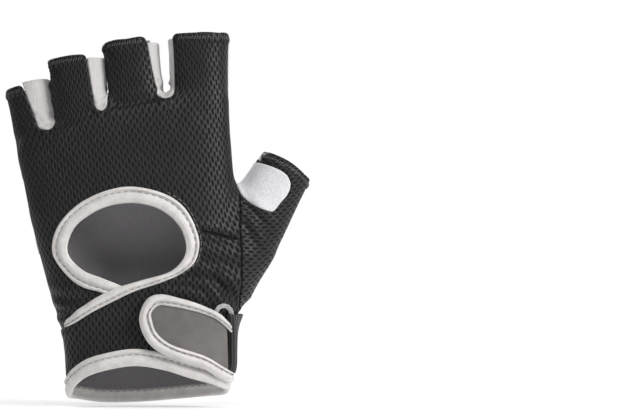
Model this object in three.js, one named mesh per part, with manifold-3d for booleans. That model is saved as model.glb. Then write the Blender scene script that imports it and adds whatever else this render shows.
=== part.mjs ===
// Half-finger fitness glove for the left hand, shown filled out as if it were worn.
// Millimetres, +Z up. The back of the hand faces -Y, the palm +Y, and the thumb points to +X.
// The origin is the centre of the wrist opening.
import * as THREE from 'three';
import { mergeVertices } from 'three/addons/utils/BufferGeometryUtils.js';
import Module from 'manifold-3d';

// Driving dimensions
const WALL = 1.5;              // thickness of the mesh and suede cloth
const LINING = 1.0;            // thickness of the lining
const GAP = 0.3;               // clearance between neighbouring pieces
const BINDING_PROUD = 0.9;     // how far the bindings stand above the cloth
const BINDING_WIDTH = 6.2;     // width of the binding round the oval
const CUFF_WIDTH = 6.9;        // width of the binding round the wrist
const RING_ROD = 1.8;          // thickness of the strap ring
const TAB_THICK = 4.1;         // height of the tab and its hook pad above the cloth
const TAB_EDGE = 5.3;          // width of the binding round the tab
const LOOP_THICK = 4.3;        // height of the webbing loop that holds the ring
const SIDES = { body: 30, finger: 18, thumb: 20 };
const ROUNDNESS = { body: 2.4, finger: 2.3, thumb: 2.2 };
const FAR = 120;               // half length of the cutters, beyond every side of the glove

// The hand: sections from the wrist up. zl and zr are the heights of the section's two ends,
// left and right its edges, y its middle and half its half thickness.
const HAND = [
  { zl: -12, zr: -12, left: -36.5, right: 36.5, y: 0, half: 17.5 },
  { zl: 8, zr: 8, left: -38.6, right: 36.4, y: 0, half: 17.8 },
  { zl: 20, zr: 20, left: -39.8, right: 36.6, y: 0, half: 18 },
  { zl: 33, zr: 33, left: -40.2, right: 37, y: 0, half: 18.5 },
  { zl: 39, zr: 41, left: -42.6, right: 39.4, y: 0.5, half: 19.2 },
  { zl: 50, zr: 52, left: -45.5, right: 41.6, y: 1, half: 20.2 },
  { zl: 66, zr: 68, left: -50, right: 41.6, y: 1.5, half: 20.2 },
  { zl: 86, zr: 90, left: -54.8, right: 40.8, y: 1.5, half: 18.6 },
  { zl: 102, zr: 108, left: -58.2, right: 38.8, y: 1.5, half: 16.8 },
  { zl: 114, zr: 130, left: -60.6, right: 37.2, y: 1.5, half: 15 },
  { zl: 121.5, zr: 143, left: -60, right: 35.6, y: 2, half: 12 },
  { zl: 125.5, zr: 150.5, left: -57, right: 33, y: 2.5, half: 7.5 },
];
const HAND_FALL = -0.06;       // the little finger's side lies further back than the index side

// The fingers, from their root to their hem. turn is the angle about the finger, in degrees.
const FINGERS = [
  { root: [-51, 6, 107], end: [-56.6, 10.5, 144.9], across: 9.3, deep: 9, turn: -35 },
  { root: [-30.5, 2.5, 120], end: [-34.7, 7, 158.2], across: 11.9, deep: 10, turn: -20 },
  { root: [-3.8, 1.5, 124], end: [-8.7, 5.5, 166.1], across: 13.1, deep: 10.5, turn: -10 },
  { root: [23, 1.5, 124], end: [22.3, 4.5, 168.8], across: 14, deep: 10.5, turn: 3 },
];
// The thumb, from inside the hand to its hem. lean is the angle of its section, in degrees.
const THUMB = [
  { at: [20, 2, 44], lean: -36, across: 14, deep: 12.5 },
  { at: [32.5, 4, 57], lean: -37, across: 17.3, deep: 17.5 },
  { at: [43.2, 5.5, 74], lean: -38, across: 16.4, deep: 15.5 },
  { at: [54, 7, 92.5], lean: -36, across: 14.3, deep: 12.8 },
  { at: [62.3, 8, 106.7], lean: -33.7, across: 12.5, deep: 11.2 },
];

// The side seam between the back and the palm: y = SIDE_SEAM.y + x * perX + z * perZ
const SIDE_SEAM = { y: 1, perX: -0.05, perZ: 0.03 };

// Where each finger's back and palm strips end, as parts of its half width, and the lowest
// points of the slots between the fingers on the back and on the palm
const SLOTS = [
  { backLeft: 0.1, backRight: -0.86, backLow: 124.2, palmLeft: 0.45, palmRight: -0.52, palmLow: 118.5 },
  { backLeft: 0.52, backRight: -0.88, backLow: 133, palmLeft: 0.62, palmRight: -0.58, palmLow: 127 },
  { backLeft: 0.68, backRight: -0.84, backLow: 139.4, palmLeft: 0.66, palmRight: -0.5, palmLow: 131.5 },
];

// Outlines and seams on the back, as [x, z]
const OVAL = [[-7.8, 92], [4.1, 89.7], [11.5, 85.1], [16.6, 78.2], [18.4, 70.8], [17, 65.3],
  [11.5, 59.8], [-0.9, 55.7], [-11.5, 52.4], [-22.5, 56.6], [-30.4, 59.8], [-37.5, 66.7],
  [-37.7, 70.8], [-34.7, 80], [-28.5, 85.6], [-19.3, 90.2]];
const BAND_TOP = [[8, 54.8], [-6.5, 51.2], [-15.6, 46.7], [-24.8, 41.8], [-32.6, 37], [-38, 32.6],
  [-44, 30.6]];
const BAND_BINDING_WIDTH = 3.4;
const DART = [[22, 78.2], [29.9, 77.3], [46, 74.2]];
const THUMB_SEAM = [[41.4, 99], [41.9, 84.6], [41.9, 75.9], [42.6, 63.5], [42.3, 55.2], [41.4, 46],
  [40.5, 40]];
const PATCH_BACK = [[41.4, 96.2], [50.1, 88.9], [52.9, 87.8], [56.8, 87.1], [60.5, 91.3], [63.5, 95],
  [64.9, 99.8], [63.6, 103.6], [60.6, 106], [56, 108], [49.4, 109.9], [40, 112]];
const TAB = [[35.8, 9.2], [30.8, 11], [24.8, 15.2], [13.1, 19.3], [3.2, 23.7], [-2.3, 30.8], [-4.1, 39.3],
  [0, 48.1], [5.3, 49.8], [15.9, 47.4], [26.5, 42.8], [33.6, 37.7], [35.8, 35.6]];
const RING = { left: 28.4, right: 38.2, low: 9, high: 45.6, corner: 4, back: -4.5 };
const LOOP = { left: 36.2, low: 15, high: 38 };

// Outlines and seams on the palm, as [x, z]
const SUEDE_LOW = [[-80, 68.5], [-48.4, 66.8], [-40.5, 60], [-28.3, 54.3], [-17.5, 49.7], [-8, 45.7],
  [1.2, 44.6], [6.6, 48.6], [9.1, 55.4]];
const KEYSTONE_EDGE = [[9, 65.5], [8.2, 72.5], [7.8, 84], [10, 92], [16.3, 96.5],
  [22.9, 97.7], [28.4, 97.6], [34, 97.6], [44, 103]];
const KEYSTONE_LOW = [[9, 65.5], [12.2, 59], [17.9, 49.7], [24, 42.9], [30.8, 38.9], [35.3, 40]];
const OUTER_SEAM = [[35.3, 40], [38.5, 51], [46.2, 61], [55.9, 74.5], [65.8, 93.1], [72, 106]];
const PATCH_PALM = [[30, 96.6], [40.9, 91.5], [45.7, 94.2], [48, 100], [49.5, 109.9], [40, 118],
  [30, 104]];

// The wrist edge, as [x, z]: the bound arch on the back and the level hem on the palm side
const ARCH = [[-60, 3], [-37, 4.6], [-34.5, 7.4], [-28.1, 12.4], [-16.1, 16.1], [-5.5, 17.5],
  [7.4, 15.6], [18.9, 12], [30.1, 8.7], [36, 6.4], [60, 5]];
const HEM = [[-60, 3], [-37, 2], [-23, -0.1], [-4.6, 0], [18.9, 2], [33.6, 3.4], [60, 5]];

const wasm = await Module();
wasm.setup();

function solidOf(geometry) {
  const plain = geometry.index ? geometry.toNonIndexed() : geometry.clone();
  plain.deleteAttribute('normal');
  plain.deleteAttribute('uv');
  const merged = mergeVertices(plain, 1e-4);
  return new wasm.Manifold(new wasm.Mesh({
    numProp: 3,
    vertProperties: new Float32Array(merged.attributes.position.array),
    triVerts: new Uint32Array(merged.index.array),
  }));
}

const joined = (solids) => solids.reduce((all, one) => all.add(one));

// A closed tube through sections. Each has a centre and two half axes.
function tube(sections, sides, power) {
  const points = [];
  const index = [];
  for (const section of sections) {
    for (let k = 0; k < sides; k += 1) {
      const angle = (2 * Math.PI * k) / sides;
      const c = Math.cos(angle);
      const s = Math.sin(angle);
      const across = Math.sign(c) * Math.abs(c) ** (2 / power);
      const deep = Math.sign(s) * Math.abs(s) ** (2 / power);
      const p = section.centre.clone()
        .addScaledVector(section.across, across)
        .addScaledVector(section.deep, deep);
      points.push(p.x, p.y, p.z);
    }
  }
  const first = points.length / 3;
  const last = first + 1;
  for (const section of [sections[0], sections[sections.length - 1]]) {
    points.push(section.centre.x, section.centre.y, section.centre.z);
  }
  const top = (sections.length - 1) * sides;
  for (let k = 0; k < sides; k += 1) {
    const next = (k + 1) % sides;
    for (let r = 0; r < top; r += sides) {
      index.push(r + k, r + next, r + sides + next, r + k, r + sides + next, r + sides + k);
    }
    index.push(first, next, k);
    index.push(last, top + k, top + next);
  }
  const geometry = new THREE.BufferGeometry();
  geometry.setAttribute('position', new THREE.Float32BufferAttribute(points, 3));
  geometry.setIndex(index);
  return solidOf(geometry);
}

// The hand's tube, with its surface moved out by grow
function handTube(grow) {
  const sections = HAND.map((row, i) => {
    const middle = (row.left + row.right) / 2;
    const half = (row.right - row.left) / 2 + grow;
    const rise = (row.zr - row.zl) / (row.right - row.left);
    const top = i === HAND.length - 1 ? grow : 0;
    return {
      centre: new THREE.Vector3(middle, row.y, (row.zl + row.zr) / 2 + top),
      across: new THREE.Vector3(half, HAND_FALL * half, rise * half),
      deep: new THREE.Vector3(0, row.half + grow, 0),
    };
  });
  return tube(sections, SIDES.body, ROUNDNESS.body);
}

// A finger's frame: its centre line and the half axes of its section
function fingerFrame(finger) {
  const root = new THREE.Vector3(...finger.root);
  const end = new THREE.Vector3(...finger.end);
  const axis = end.clone().sub(root).normalize();
  const turn = THREE.MathUtils.degToRad(finger.turn);
  const across = new THREE.Vector3(Math.cos(turn), Math.sin(turn), 0);
  across.addScaledVector(axis, -across.dot(axis)).normalize();
  const deep = axis.clone().cross(across).normalize();
  return { root, end, axis, across, deep };
}

// How wide a finger is along its length, as parts of its full width
const FINGER_ROWS = [
  { at: 0, wide: 0.8 },
  { at: 0.3, wide: 1 },
  { at: 0.75, wide: 0.985 },
  { at: 1, wide: 1.015 },
];

function fingerTube(finger, grow, beyond) {
  const frame = fingerFrame(finger);
  const sections = FINGER_ROWS.map((row) => ({
    centre: frame.root.clone().lerp(frame.end, row.at)
      .addScaledVector(frame.axis, row.at === 1 ? beyond : 0),
    across: frame.across.clone().multiplyScalar(finger.across * row.wide + grow),
    deep: frame.deep.clone().multiplyScalar(finger.deep * row.wide + grow),
  }));
  return tube(sections, SIDES.finger, ROUNDNESS.finger);
}

function thumbTube(grow, beyond) {
  const sections = THUMB.map((row, i) => {
    const lean = THREE.MathUtils.degToRad(row.lean);
    const across = new THREE.Vector3(Math.cos(lean), 0, Math.sin(lean));
    const axis = new THREE.Vector3(-across.z, 0, across.x);
    return {
      centre: new THREE.Vector3(...row.at).addScaledVector(axis, i === THUMB.length - 1 ? beyond : 0),
      across: across.multiplyScalar(row.across + grow),
      deep: new THREE.Vector3(0, row.deep + grow, 0),
    };
  });
  return tube(sections, SIDES.thumb, ROUNDNESS.thumb);
}

// Everything inside the surface that lies grow outside the cloth's outer face
function filled(grow, beyond = 0) {
  const tubes = FINGERS.map((finger) => fingerTube(finger, grow, beyond));
  return joined([handTube(grow), thumbTube(grow, beyond), ...tubes]);
}

const OPEN_END = 4;            // how far the hollow runs past the hems of the fingers

// A skin between two depths of that surface
function skin(outer, inner) {
  return filled(outer).subtract(filled(inner, OPEN_END));
}

// An outline moved outwards by distance, for clearances. The points go anticlockwise.
function moved(outline, distance) {
  if (distance === 0) return outline;
  const sign = THREE.ShapeUtils.area(outline.map(([x, z]) => new THREE.Vector2(x, z))) > 0 ? 1 : -1;
  return outline.map(([x, z], i) => {
    const [px, pz] = outline[(i + outline.length - 1) % outline.length];
    const [nx, nz] = outline[(i + 1) % outline.length];
    const before = new THREE.Vector2(z - pz, px - x).normalize();
    const after = new THREE.Vector2(nz - z, x - nx).normalize();
    const normal = before.clone().add(after);
    const scale = 2 / Math.max(normal.lengthSq(), 1);
    return [x + sign * distance * normal.x * scale, z + sign * distance * normal.y * scale];
  });
}

// A smooth line through points
function smooth(points, closed, steps) {
  const path = new THREE.CatmullRomCurve3(
    points.map(([x, z]) => new THREE.Vector3(x, 0, z)), closed, 'centripetal');
  const line = path.getPoints(steps).map((p) => [p.x, p.z]);
  return closed ? line.slice(0, -1) : line;
}

// A cutter with the outline [x, z], from y = from to y = to
function cutter(outline, from = -FAR, to = FAR) {
  const shape = new THREE.Shape(outline.map(([x, z]) => new THREE.Vector2(x, z)));
  const geometry = new THREE.ExtrudeGeometry(shape, { depth: to - from, bevelEnabled: false });
  geometry.rotateX(Math.PI / 2);
  geometry.translate(0, to, 0);
  return solidOf(geometry);
}

// The space on one side of the side seam, kept clear of it by clear
function sideOf(palm, clear) {
  const geometry = new THREE.BoxGeometry(2 * FAR, FAR, 4 * FAR);
  geometry.translate(0, palm ? FAR / 2 : -FAR / 2, 0);
  const position = geometry.attributes.position;
  for (let i = 0; i < position.count; i += 1) {
    const seam = SIDE_SEAM.y + SIDE_SEAM.perX * position.getX(i) + SIDE_SEAM.perZ * position.getZ(i);
    position.setY(i, position.getY(i) + seam + (palm ? clear : -clear));
  }
  return solidOf(geometry);
}

// A point on the front view of a finger: along its length, and across it by its half width
function onFinger(finger, along, part) {
  const frame = fingerFrame(finger);
  const p = frame.root.clone().lerp(frame.end, along);
  const side = new THREE.Vector2(frame.axis.z, -frame.axis.x).normalize();
  return [p.x + side.x * part * finger.across, p.z + side.y * part * finger.across];
}

// The slot between two fingers, in the front view, with a round bottom
function slot(left, right, partLeft, partRight, low) {
  const rise = 4;
  const leftTop = onFinger(left, 1.25, partLeft);
  const rightTop = onFinger(right, 1.25, partRight);
  const edgeAt = (finger, part, z) => {
    const [x0, z0] = onFinger(finger, 0, part);
    const [x1, z1] = onFinger(finger, 1, part);
    return x0 + ((x1 - x0) * (z - z0)) / (z1 - z0);
  };
  const xl = edgeAt(left, partLeft, low + rise);
  const xr = edgeAt(right, partRight, low + rise);
  const outline = [leftTop];
  for (let k = 0; k <= 5; k += 1) {
    const angle = Math.PI * (1 + k / 5);
    outline.push([(xl + xr) / 2 + ((xr - xl) / 2) * Math.cos(angle), low + rise * (1 + Math.sin(angle))]);
  }
  outline.push(rightTop);
  return outline;
}

const backSlots = SLOTS.map((row, i) =>
  slot(FINGERS[i], FINGERS[i + 1], row.backLeft, row.backRight, row.backLow));
const palmSlots = SLOTS.map((row, i) =>
  slot(FINGERS[i], FINGERS[i + 1], row.palmLeft, row.palmRight, row.palmLow));

const HALF_GAP = GAP / 2;
const clearOf = (outline) => cutter(moved(outline, HALF_GAP));
const inside = (outline) => cutter(moved(outline, -HALF_GAP));

// Areas of the front view that lie below or above a line
const below = (line) => [...line, [line[line.length - 1][0], -FAR], [line[0][0], -FAR]];
const raised = (line, height) => line.map(([x, z]) => [x, z + height]);

const archTop = smooth(raised(ARCH, CUFF_WIDTH), false, 16);
const hemTop = smooth(raised(HEM, CUFF_WIDTH), false, 10);
const archLow = smooth(ARCH, false, 16);
const hemLow = smooth(HEM, false, 10);

const cloth = skin(0, -WALL);
const proud = skin(BINDING_PROUD, -WALL);
const backCloth = cloth.intersect(sideOf(false, HALF_GAP));
const palmCloth = cloth.intersect(sideOf(true, HALF_GAP));

// The binding of the oval runs on along the band's upper edge, as one strip
const oval = smooth(OVAL, true, 32);
const ovalOuter = moved(oval, BINDING_WIDTH);
const bandTop = smooth(BAND_TOP, false, 9);
const bandStrip = [...bandTop, ...raised(bandTop, BAND_BINDING_WIDTH).reverse()];

// The band's own area: below its upper edge, and at the right below the dart
const bandArea = [...DART, [46, -FAR], [-FAR, -FAR], [-FAR, 30.6], ...[...bandTop].reverse(),
  [12, 56], [18, 62]];

const thumbArea = [...smooth(THUMB_SEAM, false, 8).reverse(), [43.4, 106], [44, 130], [110, 130],
  [110, 30], [60, 30]];
const thumbOuter = [...OUTER_SEAM, [76, 130], [110, 130], [110, 30], [50, 30]];
const keystone = [...smooth(KEYSTONE_EDGE, false, 12), [52, 124], [76, 130],
  ...[...OUTER_SEAM].reverse(), ...smooth(KEYSTONE_LOW, false, 6).reverse().slice(1, -1)];

const wristArea = [...smooth(SUEDE_LOW, false, 14), ...smooth(KEYSTONE_LOW, false, 6),
  [50, 36], [50, -FAR], [-80, -FAR]];

// The largest body of a solid, without the scraps that crossing cuts can leave
const main = (solid) => solid.decompose().reduce((best, one) => (one.volume() > best.volume() ? one : best));

const PIECES = [];
const piece = (name, solid, color, roughness, options = {}) =>
  PIECES.push({ name, solid, material: { color, roughness, metalness: 0, ...options } });

const BLACK_MESH = 0x302e2e;
const SUEDE = 0xd9d9da;
const PALE_EDGE = 0xcbc5c2;

// The suede patch runs from the back round the thumb's inner side to the palm
const PATCH_TURN = 4;
const patchAt = (grow) => cutter(moved(PATCH_BACK, grow), -FAR, PATCH_TURN + grow)
  .add(cutter(moved(PATCH_PALM, grow), PATCH_TURN - 0.1 - grow, FAR));
const patch = patchAt(0);
const patchClear = patchAt(GAP);

const backSlotCut = joined(backSlots.map(clearOf));
const palmSlotCut = joined(palmSlots.map(clearOf));

// The band's binding and the oval's binding as one area
const bindingArea = cutter(ovalOuter).add(cutter(bandStrip));
const bindingClear = cutter(moved(ovalOuter, GAP)).add(cutter(moved(bandStrip, GAP)));

piece('back_panel', backCloth
  .subtract(backSlotCut)
  .subtract(bindingClear)
  .subtract(cutter(moved(bandArea, GAP)))
  .subtract(clearOf(thumbArea))
  .subtract(cutter(below(raised(archTop, HALF_GAP))))
  .subtract(patchClear), BLACK_MESH, 0.9);

piece('wrist_band', backCloth
  .intersect(cutter(bandArea))
  .subtract(bindingClear)
  .subtract(clearOf(thumbArea))
  .subtract(cutter(below(raised(archTop, GAP)))), BLACK_MESH, 0.9);

piece('palm_panel', palmCloth
  .subtract(palmSlotCut)
  .subtract(clearOf(keystone))
  .subtract(clearOf(thumbOuter))
  .subtract(clearOf(wristArea))
  .subtract(patchClear), SUEDE, 0.85);

piece('wrist_panel', palmCloth
  .intersect(inside(wristArea))
  .subtract(clearOf(keystone))
  .subtract(clearOf(thumbOuter))
  .subtract(cutter(below(raised(hemTop, GAP)))), BLACK_MESH, 0.9);

piece('thumb_front', palmCloth
  .intersect(inside(keystone))
  .subtract(clearOf(thumbOuter))
  .subtract(patchClear), BLACK_MESH, 0.9);

const backOfThumb = cloth.intersect(sideOf(false, -HALF_GAP)).intersect(inside(thumbArea));
const outerOfThumb = cloth.intersect(sideOf(true, -HALF_GAP)).intersect(inside(thumbOuter));
piece('thumb_back', backOfThumb.add(outerOfThumb).subtract(patchClear), BLACK_MESH, 0.9);

piece('thumb_patch', cloth.intersect(patch), SUEDE, 0.85);

backSlots.forEach((outline, i) => piece(`fourchette_${i + 1}`,
  backCloth.intersect(inside(outline)), 0xd2cfcc, 0.8));
palmSlots.forEach((outline, i) => piece(`gusset_${i + 1}`,
  palmCloth.intersect(inside(outline)).subtract(clearOf(keystone)), BLACK_MESH, 0.9));

piece('opening_binding', proud
  .intersect(sideOf(false, HALF_GAP))
  .intersect(bindingArea)
  .subtract(cutter(oval)), PALE_EDGE, 0.75);

const archBinding = proud.intersect(sideOf(false, -0.01)).intersect(cutter(below(archTop)))
  .subtract(cutter(below(archLow)));
const hemBinding = proud.intersect(sideOf(true, 0)).intersect(cutter(below(hemTop)))
  .subtract(cutter(below(hemLow)));
piece('cuff_binding', archBinding.add(hemBinding), PALE_EDGE, 0.75);

// The strap ring, bent to the wrist, and the pieces that lie over it
const ringOutline = (grow) => {
  const shape = [];
  const corner = RING.corner + grow;
  const corners = [
    [RING.right - RING.corner, RING.high - RING.corner, 0],
    [RING.left + RING.corner, RING.high - RING.corner, 1],
    [RING.left + RING.corner, RING.low + RING.corner, 2],
    [RING.right - RING.corner, RING.low + RING.corner, 3],
  ];
  for (const [x, z, quarter] of corners) {
    for (let k = 0; k <= 3; k += 1) {
      const angle = ((quarter + k / 3) * Math.PI) / 2;
      shape.push([x + corner * Math.cos(angle), z + corner * Math.sin(angle)]);
    }
  }
  return shape;
};
const ringFrame = (clear) => cutter(ringOutline(clear)).subtract(cutter(ringOutline(-RING_ROD - clear)));
const front = sideOf(false, 0);
const BED = BINDING_PROUD + GAP;
const ring = skin(BED + RING_ROD, BED).intersect(cutter(ringOutline(0), -FAR, RING.back))
  .subtract(cutter(ringOutline(-RING_ROD)));
const ringRoom = filled(BED + RING_ROD + GAP).intersect(ringFrame(GAP));

const tabOutline = smooth(TAB, false, 20);
const tabInner = moved(tabOutline, -TAB_EDGE);
const tabOpen = [...tabInner.filter(([x]) => x < 30), [60, 31.5], [60, 14]];
const tabSkin = skin(TAB_THICK, BED).intersect(front);
const tabEdgeSkin = skin(TAB_THICK + BINDING_PROUD, BED).intersect(front);
const tabStrip = cutter(tabOutline);
const tabMiddle = cutter(tabOpen);
piece('closure_tab', tabSkin.intersect(tabStrip).intersect(tabMiddle).subtract(ringRoom), 0x75716e, 0.6);
piece('tab_binding', tabEdgeSkin.intersect(tabStrip).subtract(cutter(moved(tabOpen, GAP))).subtract(ringRoom),
  PALE_EDGE, 0.75);
piece('strap_ring', ring, 0xe6e6e6, 0.15, { transparent: true, opacity: 0.4 });

const loopArea = [[LOOP.left, LOOP.low], [60, LOOP.low], [60, LOOP.high], [LOOP.left, LOOP.high]];
piece('ring_loop', skin(LOOP_THICK, BED).intersect(cutter(loopArea, -FAR, 12)).subtract(ringRoom),
  BLACK_MESH, 0.8);

const liningArea = [[-80, 10.5], [80, 10.5], [80, 64], [30, 78], [30, 108], [-80, 108]];
piece('palm_lining', skin(-WALL - GAP, -WALL - GAP - LINING).intersect(sideOf(true, 0))
  .intersect(cutter(liningArea)), 0x4c4b4b, 0.95);

const group = new THREE.Group();
group.name = 'fitness_glove';
for (const { name, solid, material } of PIECES) {
  const { vertProperties, triVerts } = main(solid).getMesh();
  const geometry = new THREE.BufferGeometry();
  geometry.setAttribute('position', new THREE.BufferAttribute(new Float32Array(vertProperties), 3));
  geometry.setIndex(new THREE.BufferAttribute(new Uint32Array(triVerts), 1));
  geometry.computeVertexNormals();
  const mesh = new THREE.Mesh(geometry, new THREE.MeshStandardMaterial(material));
  mesh.name = name;
  group.add(mesh);
}

export default group;
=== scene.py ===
"""A half-finger fitness glove for the left hand, filled out as if it were worn.

Every cloth piece is cut from one smooth glove surface, and the bindings, tab, ring and threads lie on it.
Lengths are in millimetres here and become metres when a mesh is made. The back of the hand faces -Y.
"""
import functools
import math

import bpy
import numpy as np
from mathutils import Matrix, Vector, kdtree


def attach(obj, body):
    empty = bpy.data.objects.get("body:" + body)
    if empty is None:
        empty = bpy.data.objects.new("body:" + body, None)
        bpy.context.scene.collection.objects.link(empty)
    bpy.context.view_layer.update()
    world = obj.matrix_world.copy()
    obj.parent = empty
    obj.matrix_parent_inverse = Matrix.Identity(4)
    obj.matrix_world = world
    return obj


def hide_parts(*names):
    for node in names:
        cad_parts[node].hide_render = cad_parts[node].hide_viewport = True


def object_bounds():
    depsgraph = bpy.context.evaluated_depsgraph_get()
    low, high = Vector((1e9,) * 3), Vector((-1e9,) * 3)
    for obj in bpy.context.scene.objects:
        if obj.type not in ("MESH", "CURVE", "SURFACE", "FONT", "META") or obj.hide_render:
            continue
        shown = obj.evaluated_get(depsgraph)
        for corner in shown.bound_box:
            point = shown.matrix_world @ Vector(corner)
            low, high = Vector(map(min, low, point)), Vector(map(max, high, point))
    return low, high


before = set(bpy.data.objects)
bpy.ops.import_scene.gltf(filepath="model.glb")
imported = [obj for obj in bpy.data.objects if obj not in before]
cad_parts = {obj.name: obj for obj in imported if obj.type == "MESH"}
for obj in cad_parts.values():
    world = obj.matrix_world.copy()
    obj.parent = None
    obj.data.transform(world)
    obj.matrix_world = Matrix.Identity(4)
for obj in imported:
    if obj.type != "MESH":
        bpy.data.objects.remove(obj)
CAD_BOX = [list(corner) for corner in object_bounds()]

bl_info = {
    "name": "Fitness glove",
    "version": (1, 0, 0),
    "blender": (4, 5, 0),
    "location": "3D View > Sidebar > Glove",
    "description": "Builds a half-finger fitness glove with its bindings, wrist closure and stitching",
    "category": "Add Mesh",
}

MM = 0.001
STEP = 0.8

# The camera stands level and straight in front of the picture's middle
VIEW_X, VIEW_Z = 74.06, 90.4
VIEW_DISTANCE = 2500
VIEW_WIDTH = 285.2

# The lights: name, place in metres, power in watts and size in metres
LIGHTS = [
    ("key", (1.1, -0.75, 0.65), 18.5, 0.6),
    ("fill", (-1.2, -0.7, 1.3), 2.5, 1.4),
    ("top", (0.0, -1.1, 1.7), 19, 1.4),
    ("palm_key", (-1.0, 1.5, 1.1), 24, 1.2),
    ("palm_fill", (1.3, 1.4, 0.8), 9, 1.4),
]
LIGHT_AIM = (0, 0, 0.085)
# How bright the world is for all that the camera doesn't see directly, and how strongly the floor shines
SURROUND = 0.06
FLOOR_GLOW = 0.44
FLOOR_RADIUS = 0.7
FLOOR_DROP = 0.0024

# The hand: sections from the wrist up, with the heights of their two ends, their edges, the depth of their
# middle and half their thickness
HAND_COLUMNS = ("z_left", "z_right", "left", "right", "y", "half")
HAND = [
    (-12, -12, -36.5, 36.5, 0, 17.5),
    (8, 8, -38, 36.4, 0, 17.8),
    (20, 20, -38.4, 36.6, 0, 18),
    (31, 33, -38.8, 37, 0, 18.5),
    (39, 41, -42.2, 39.4, 0.5, 19.2),
    (50, 52, -45.5, 41.6, 1, 20.2),
    (66, 68, -50, 41.6, 1.5, 20.2),
    (86, 90, -54.8, 40.8, 1.5, 18.6),
    (102, 108, -58.2, 38.8, 1.5, 16.8),
    (114, 130, -60.6, 37.2, 1.5, 14.6),
    (121.5, 143, -60.4, 36.4, 2, 12.6),
    (125.5, 150.5, -59, 35, 2.5, 11),
]
HAND_FALL = -0.06
HAND_ROUND = 2.4
WEB_X = (-62, -45, -20, 7, 33)
WEB_Z = (122, 128, 139, 141, 146)

# The fingers: root, end, half width, half thickness, and the turn about their own line in degrees
FINGERS = [
    ((-48.8, 6.5, 107), (-55.9, 12, 144.9), 11, 9, -33),
    ((-30, 2.5, 120), (-33.9, 7, 158.2), 13.7, 10, -20),
    ((-3.8, 1.5, 124), (-8.7, 5.5, 166.1), 13.1, 10.5, -10),
    ((23, 1.5, 124), (22.3, 4.5, 168.8), 14, 10.5, 3),
]
FINGER_ROUND = 2.3
# The slots between the fingers, on the back and on the palm. For each: its edge on the left finger at the
# bottom and at the hem, then its edge on the right finger, as parts of the half width, and its low point
BACK_SLOTS = [
    (0.08, -0.19, -0.9, -1.0, 124.4),
    (0.48, 0.39, -1.02, -0.95, 133.2),
    (0.72, 0.57, -0.76, -0.8, 138.8),
]
PALM_SLOTS = [
    (0.45, 0.45, -0.52, -0.52, 118.8),
    (0.62, 0.62, -0.58, -0.58, 127.2),
    (0.66, 0.66, -0.5, -0.5, 131.8),
]
SLOT_RISE = 4
# How far below the hems the pale strips end, on their two fingers
STRIP_ENDS = [(-1.2, 3.0), (2.0, 2.6), (3.0, 2.2)]

# The thumb: centre, half width and half thickness of its sections, which all lean alike
THUMB = [
    ((20, 2, 44), 14, 12.5),
    ((32.5, 4, 57), 17.3, 17.5),
    ((43.2, 5.5, 74), 16.4, 15.5),
    ((54, 7, 92.5), 14.3, 12.8),
    ((63.9, 8.2, 109.5), 12.5, 11.2),
]
THUMB_LEAN = math.radians(-35)
THUMB_ROUND = 2.2

# The side seam between back and palm: y = at + x * per_x + z * per_z
SEAM_AT, SEAM_PER_X, SEAM_PER_Z = 1, -0.05, 0.03

# Seams and outlines on the back, as (x, z)
DART = [(21, 78.4), (29.9, 77.3), (40.5, 74.4)]
THUMB_SEAM = [(40, 101), (41.4, 96), (41.9, 84.6), (41.9, 75.9), (42.6, 63.5), (42.3, 55.2), (41.4, 46),
              (40.5, 40)]
PATCH_BACK = [(41.4, 96.2), (50.1, 88.9), (52.9, 87.8), (56.8, 87.1), (60.5, 91.3), (63.5, 95),
              (64.9, 99.8), (63.6, 103.6), (60.6, 106), (56, 108), (49.4, 109.9), (40, 112)]
ARCH = [(-60, 3), (-37, 4.6), (-34.5, 7.4), (-28.1, 12.4), (-16.1, 16.1), (-5.5, 17.5),
        (7.4, 15.6), (18.9, 12), (30.1, 8.7), (36, 6.4), (60, 5)]
HEM = [(-60, 3), (-37, 2), (-23, -0.1), (-4.6, 0), (18.9, 2), (33.6, 3.4), (60, 5)]

# The hole in the back, and the areas of the band and of what the flap leaves free, as (x, z)
OVAL = [(-7.8, 92), (4.1, 89.7), (11.5, 85.1), (16.6, 78.2), (18.4, 70.8), (17, 65.3), (11.5, 59.8),
        (-0.9, 55.7), (-11.5, 52.4), (-22.5, 56.6), (-30.4, 59.8), (-37.5, 66.7), (-37.7, 70.8), (-34.7, 80),
        (-28.5, 85.6), (-19.3, 90.2)]
BAND_UPPER = [(5.6, 57), (-4, 54.2), (-11.5, 51.4), (-17.5, 48.8), (-24.8, 45.1), (-32.6, 39.6),
              (-36.8, 35.6), (-42.5, 31), (-60, 28)]
BAND_AREA = DART + [(50, 74), (50, -60), (-70, -60)] + BAND_UPPER[::-1] + [(12, 60), (18, 70)]
FLAP_CUT = DART + [(50, 74), (50, -60), (-70, -60), (-70, 25), (-43, 26), (-37, 30), (-30, 35.5),
                   (-24.8, 39.6), (-15, 44), (-8, 47), (5.6, 55), (12, 60), (18, 70)]
THUMB_SIDE = [(43.4, 106), (44, 130), (110, 130), (110, 30), (60, 30)]

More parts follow.
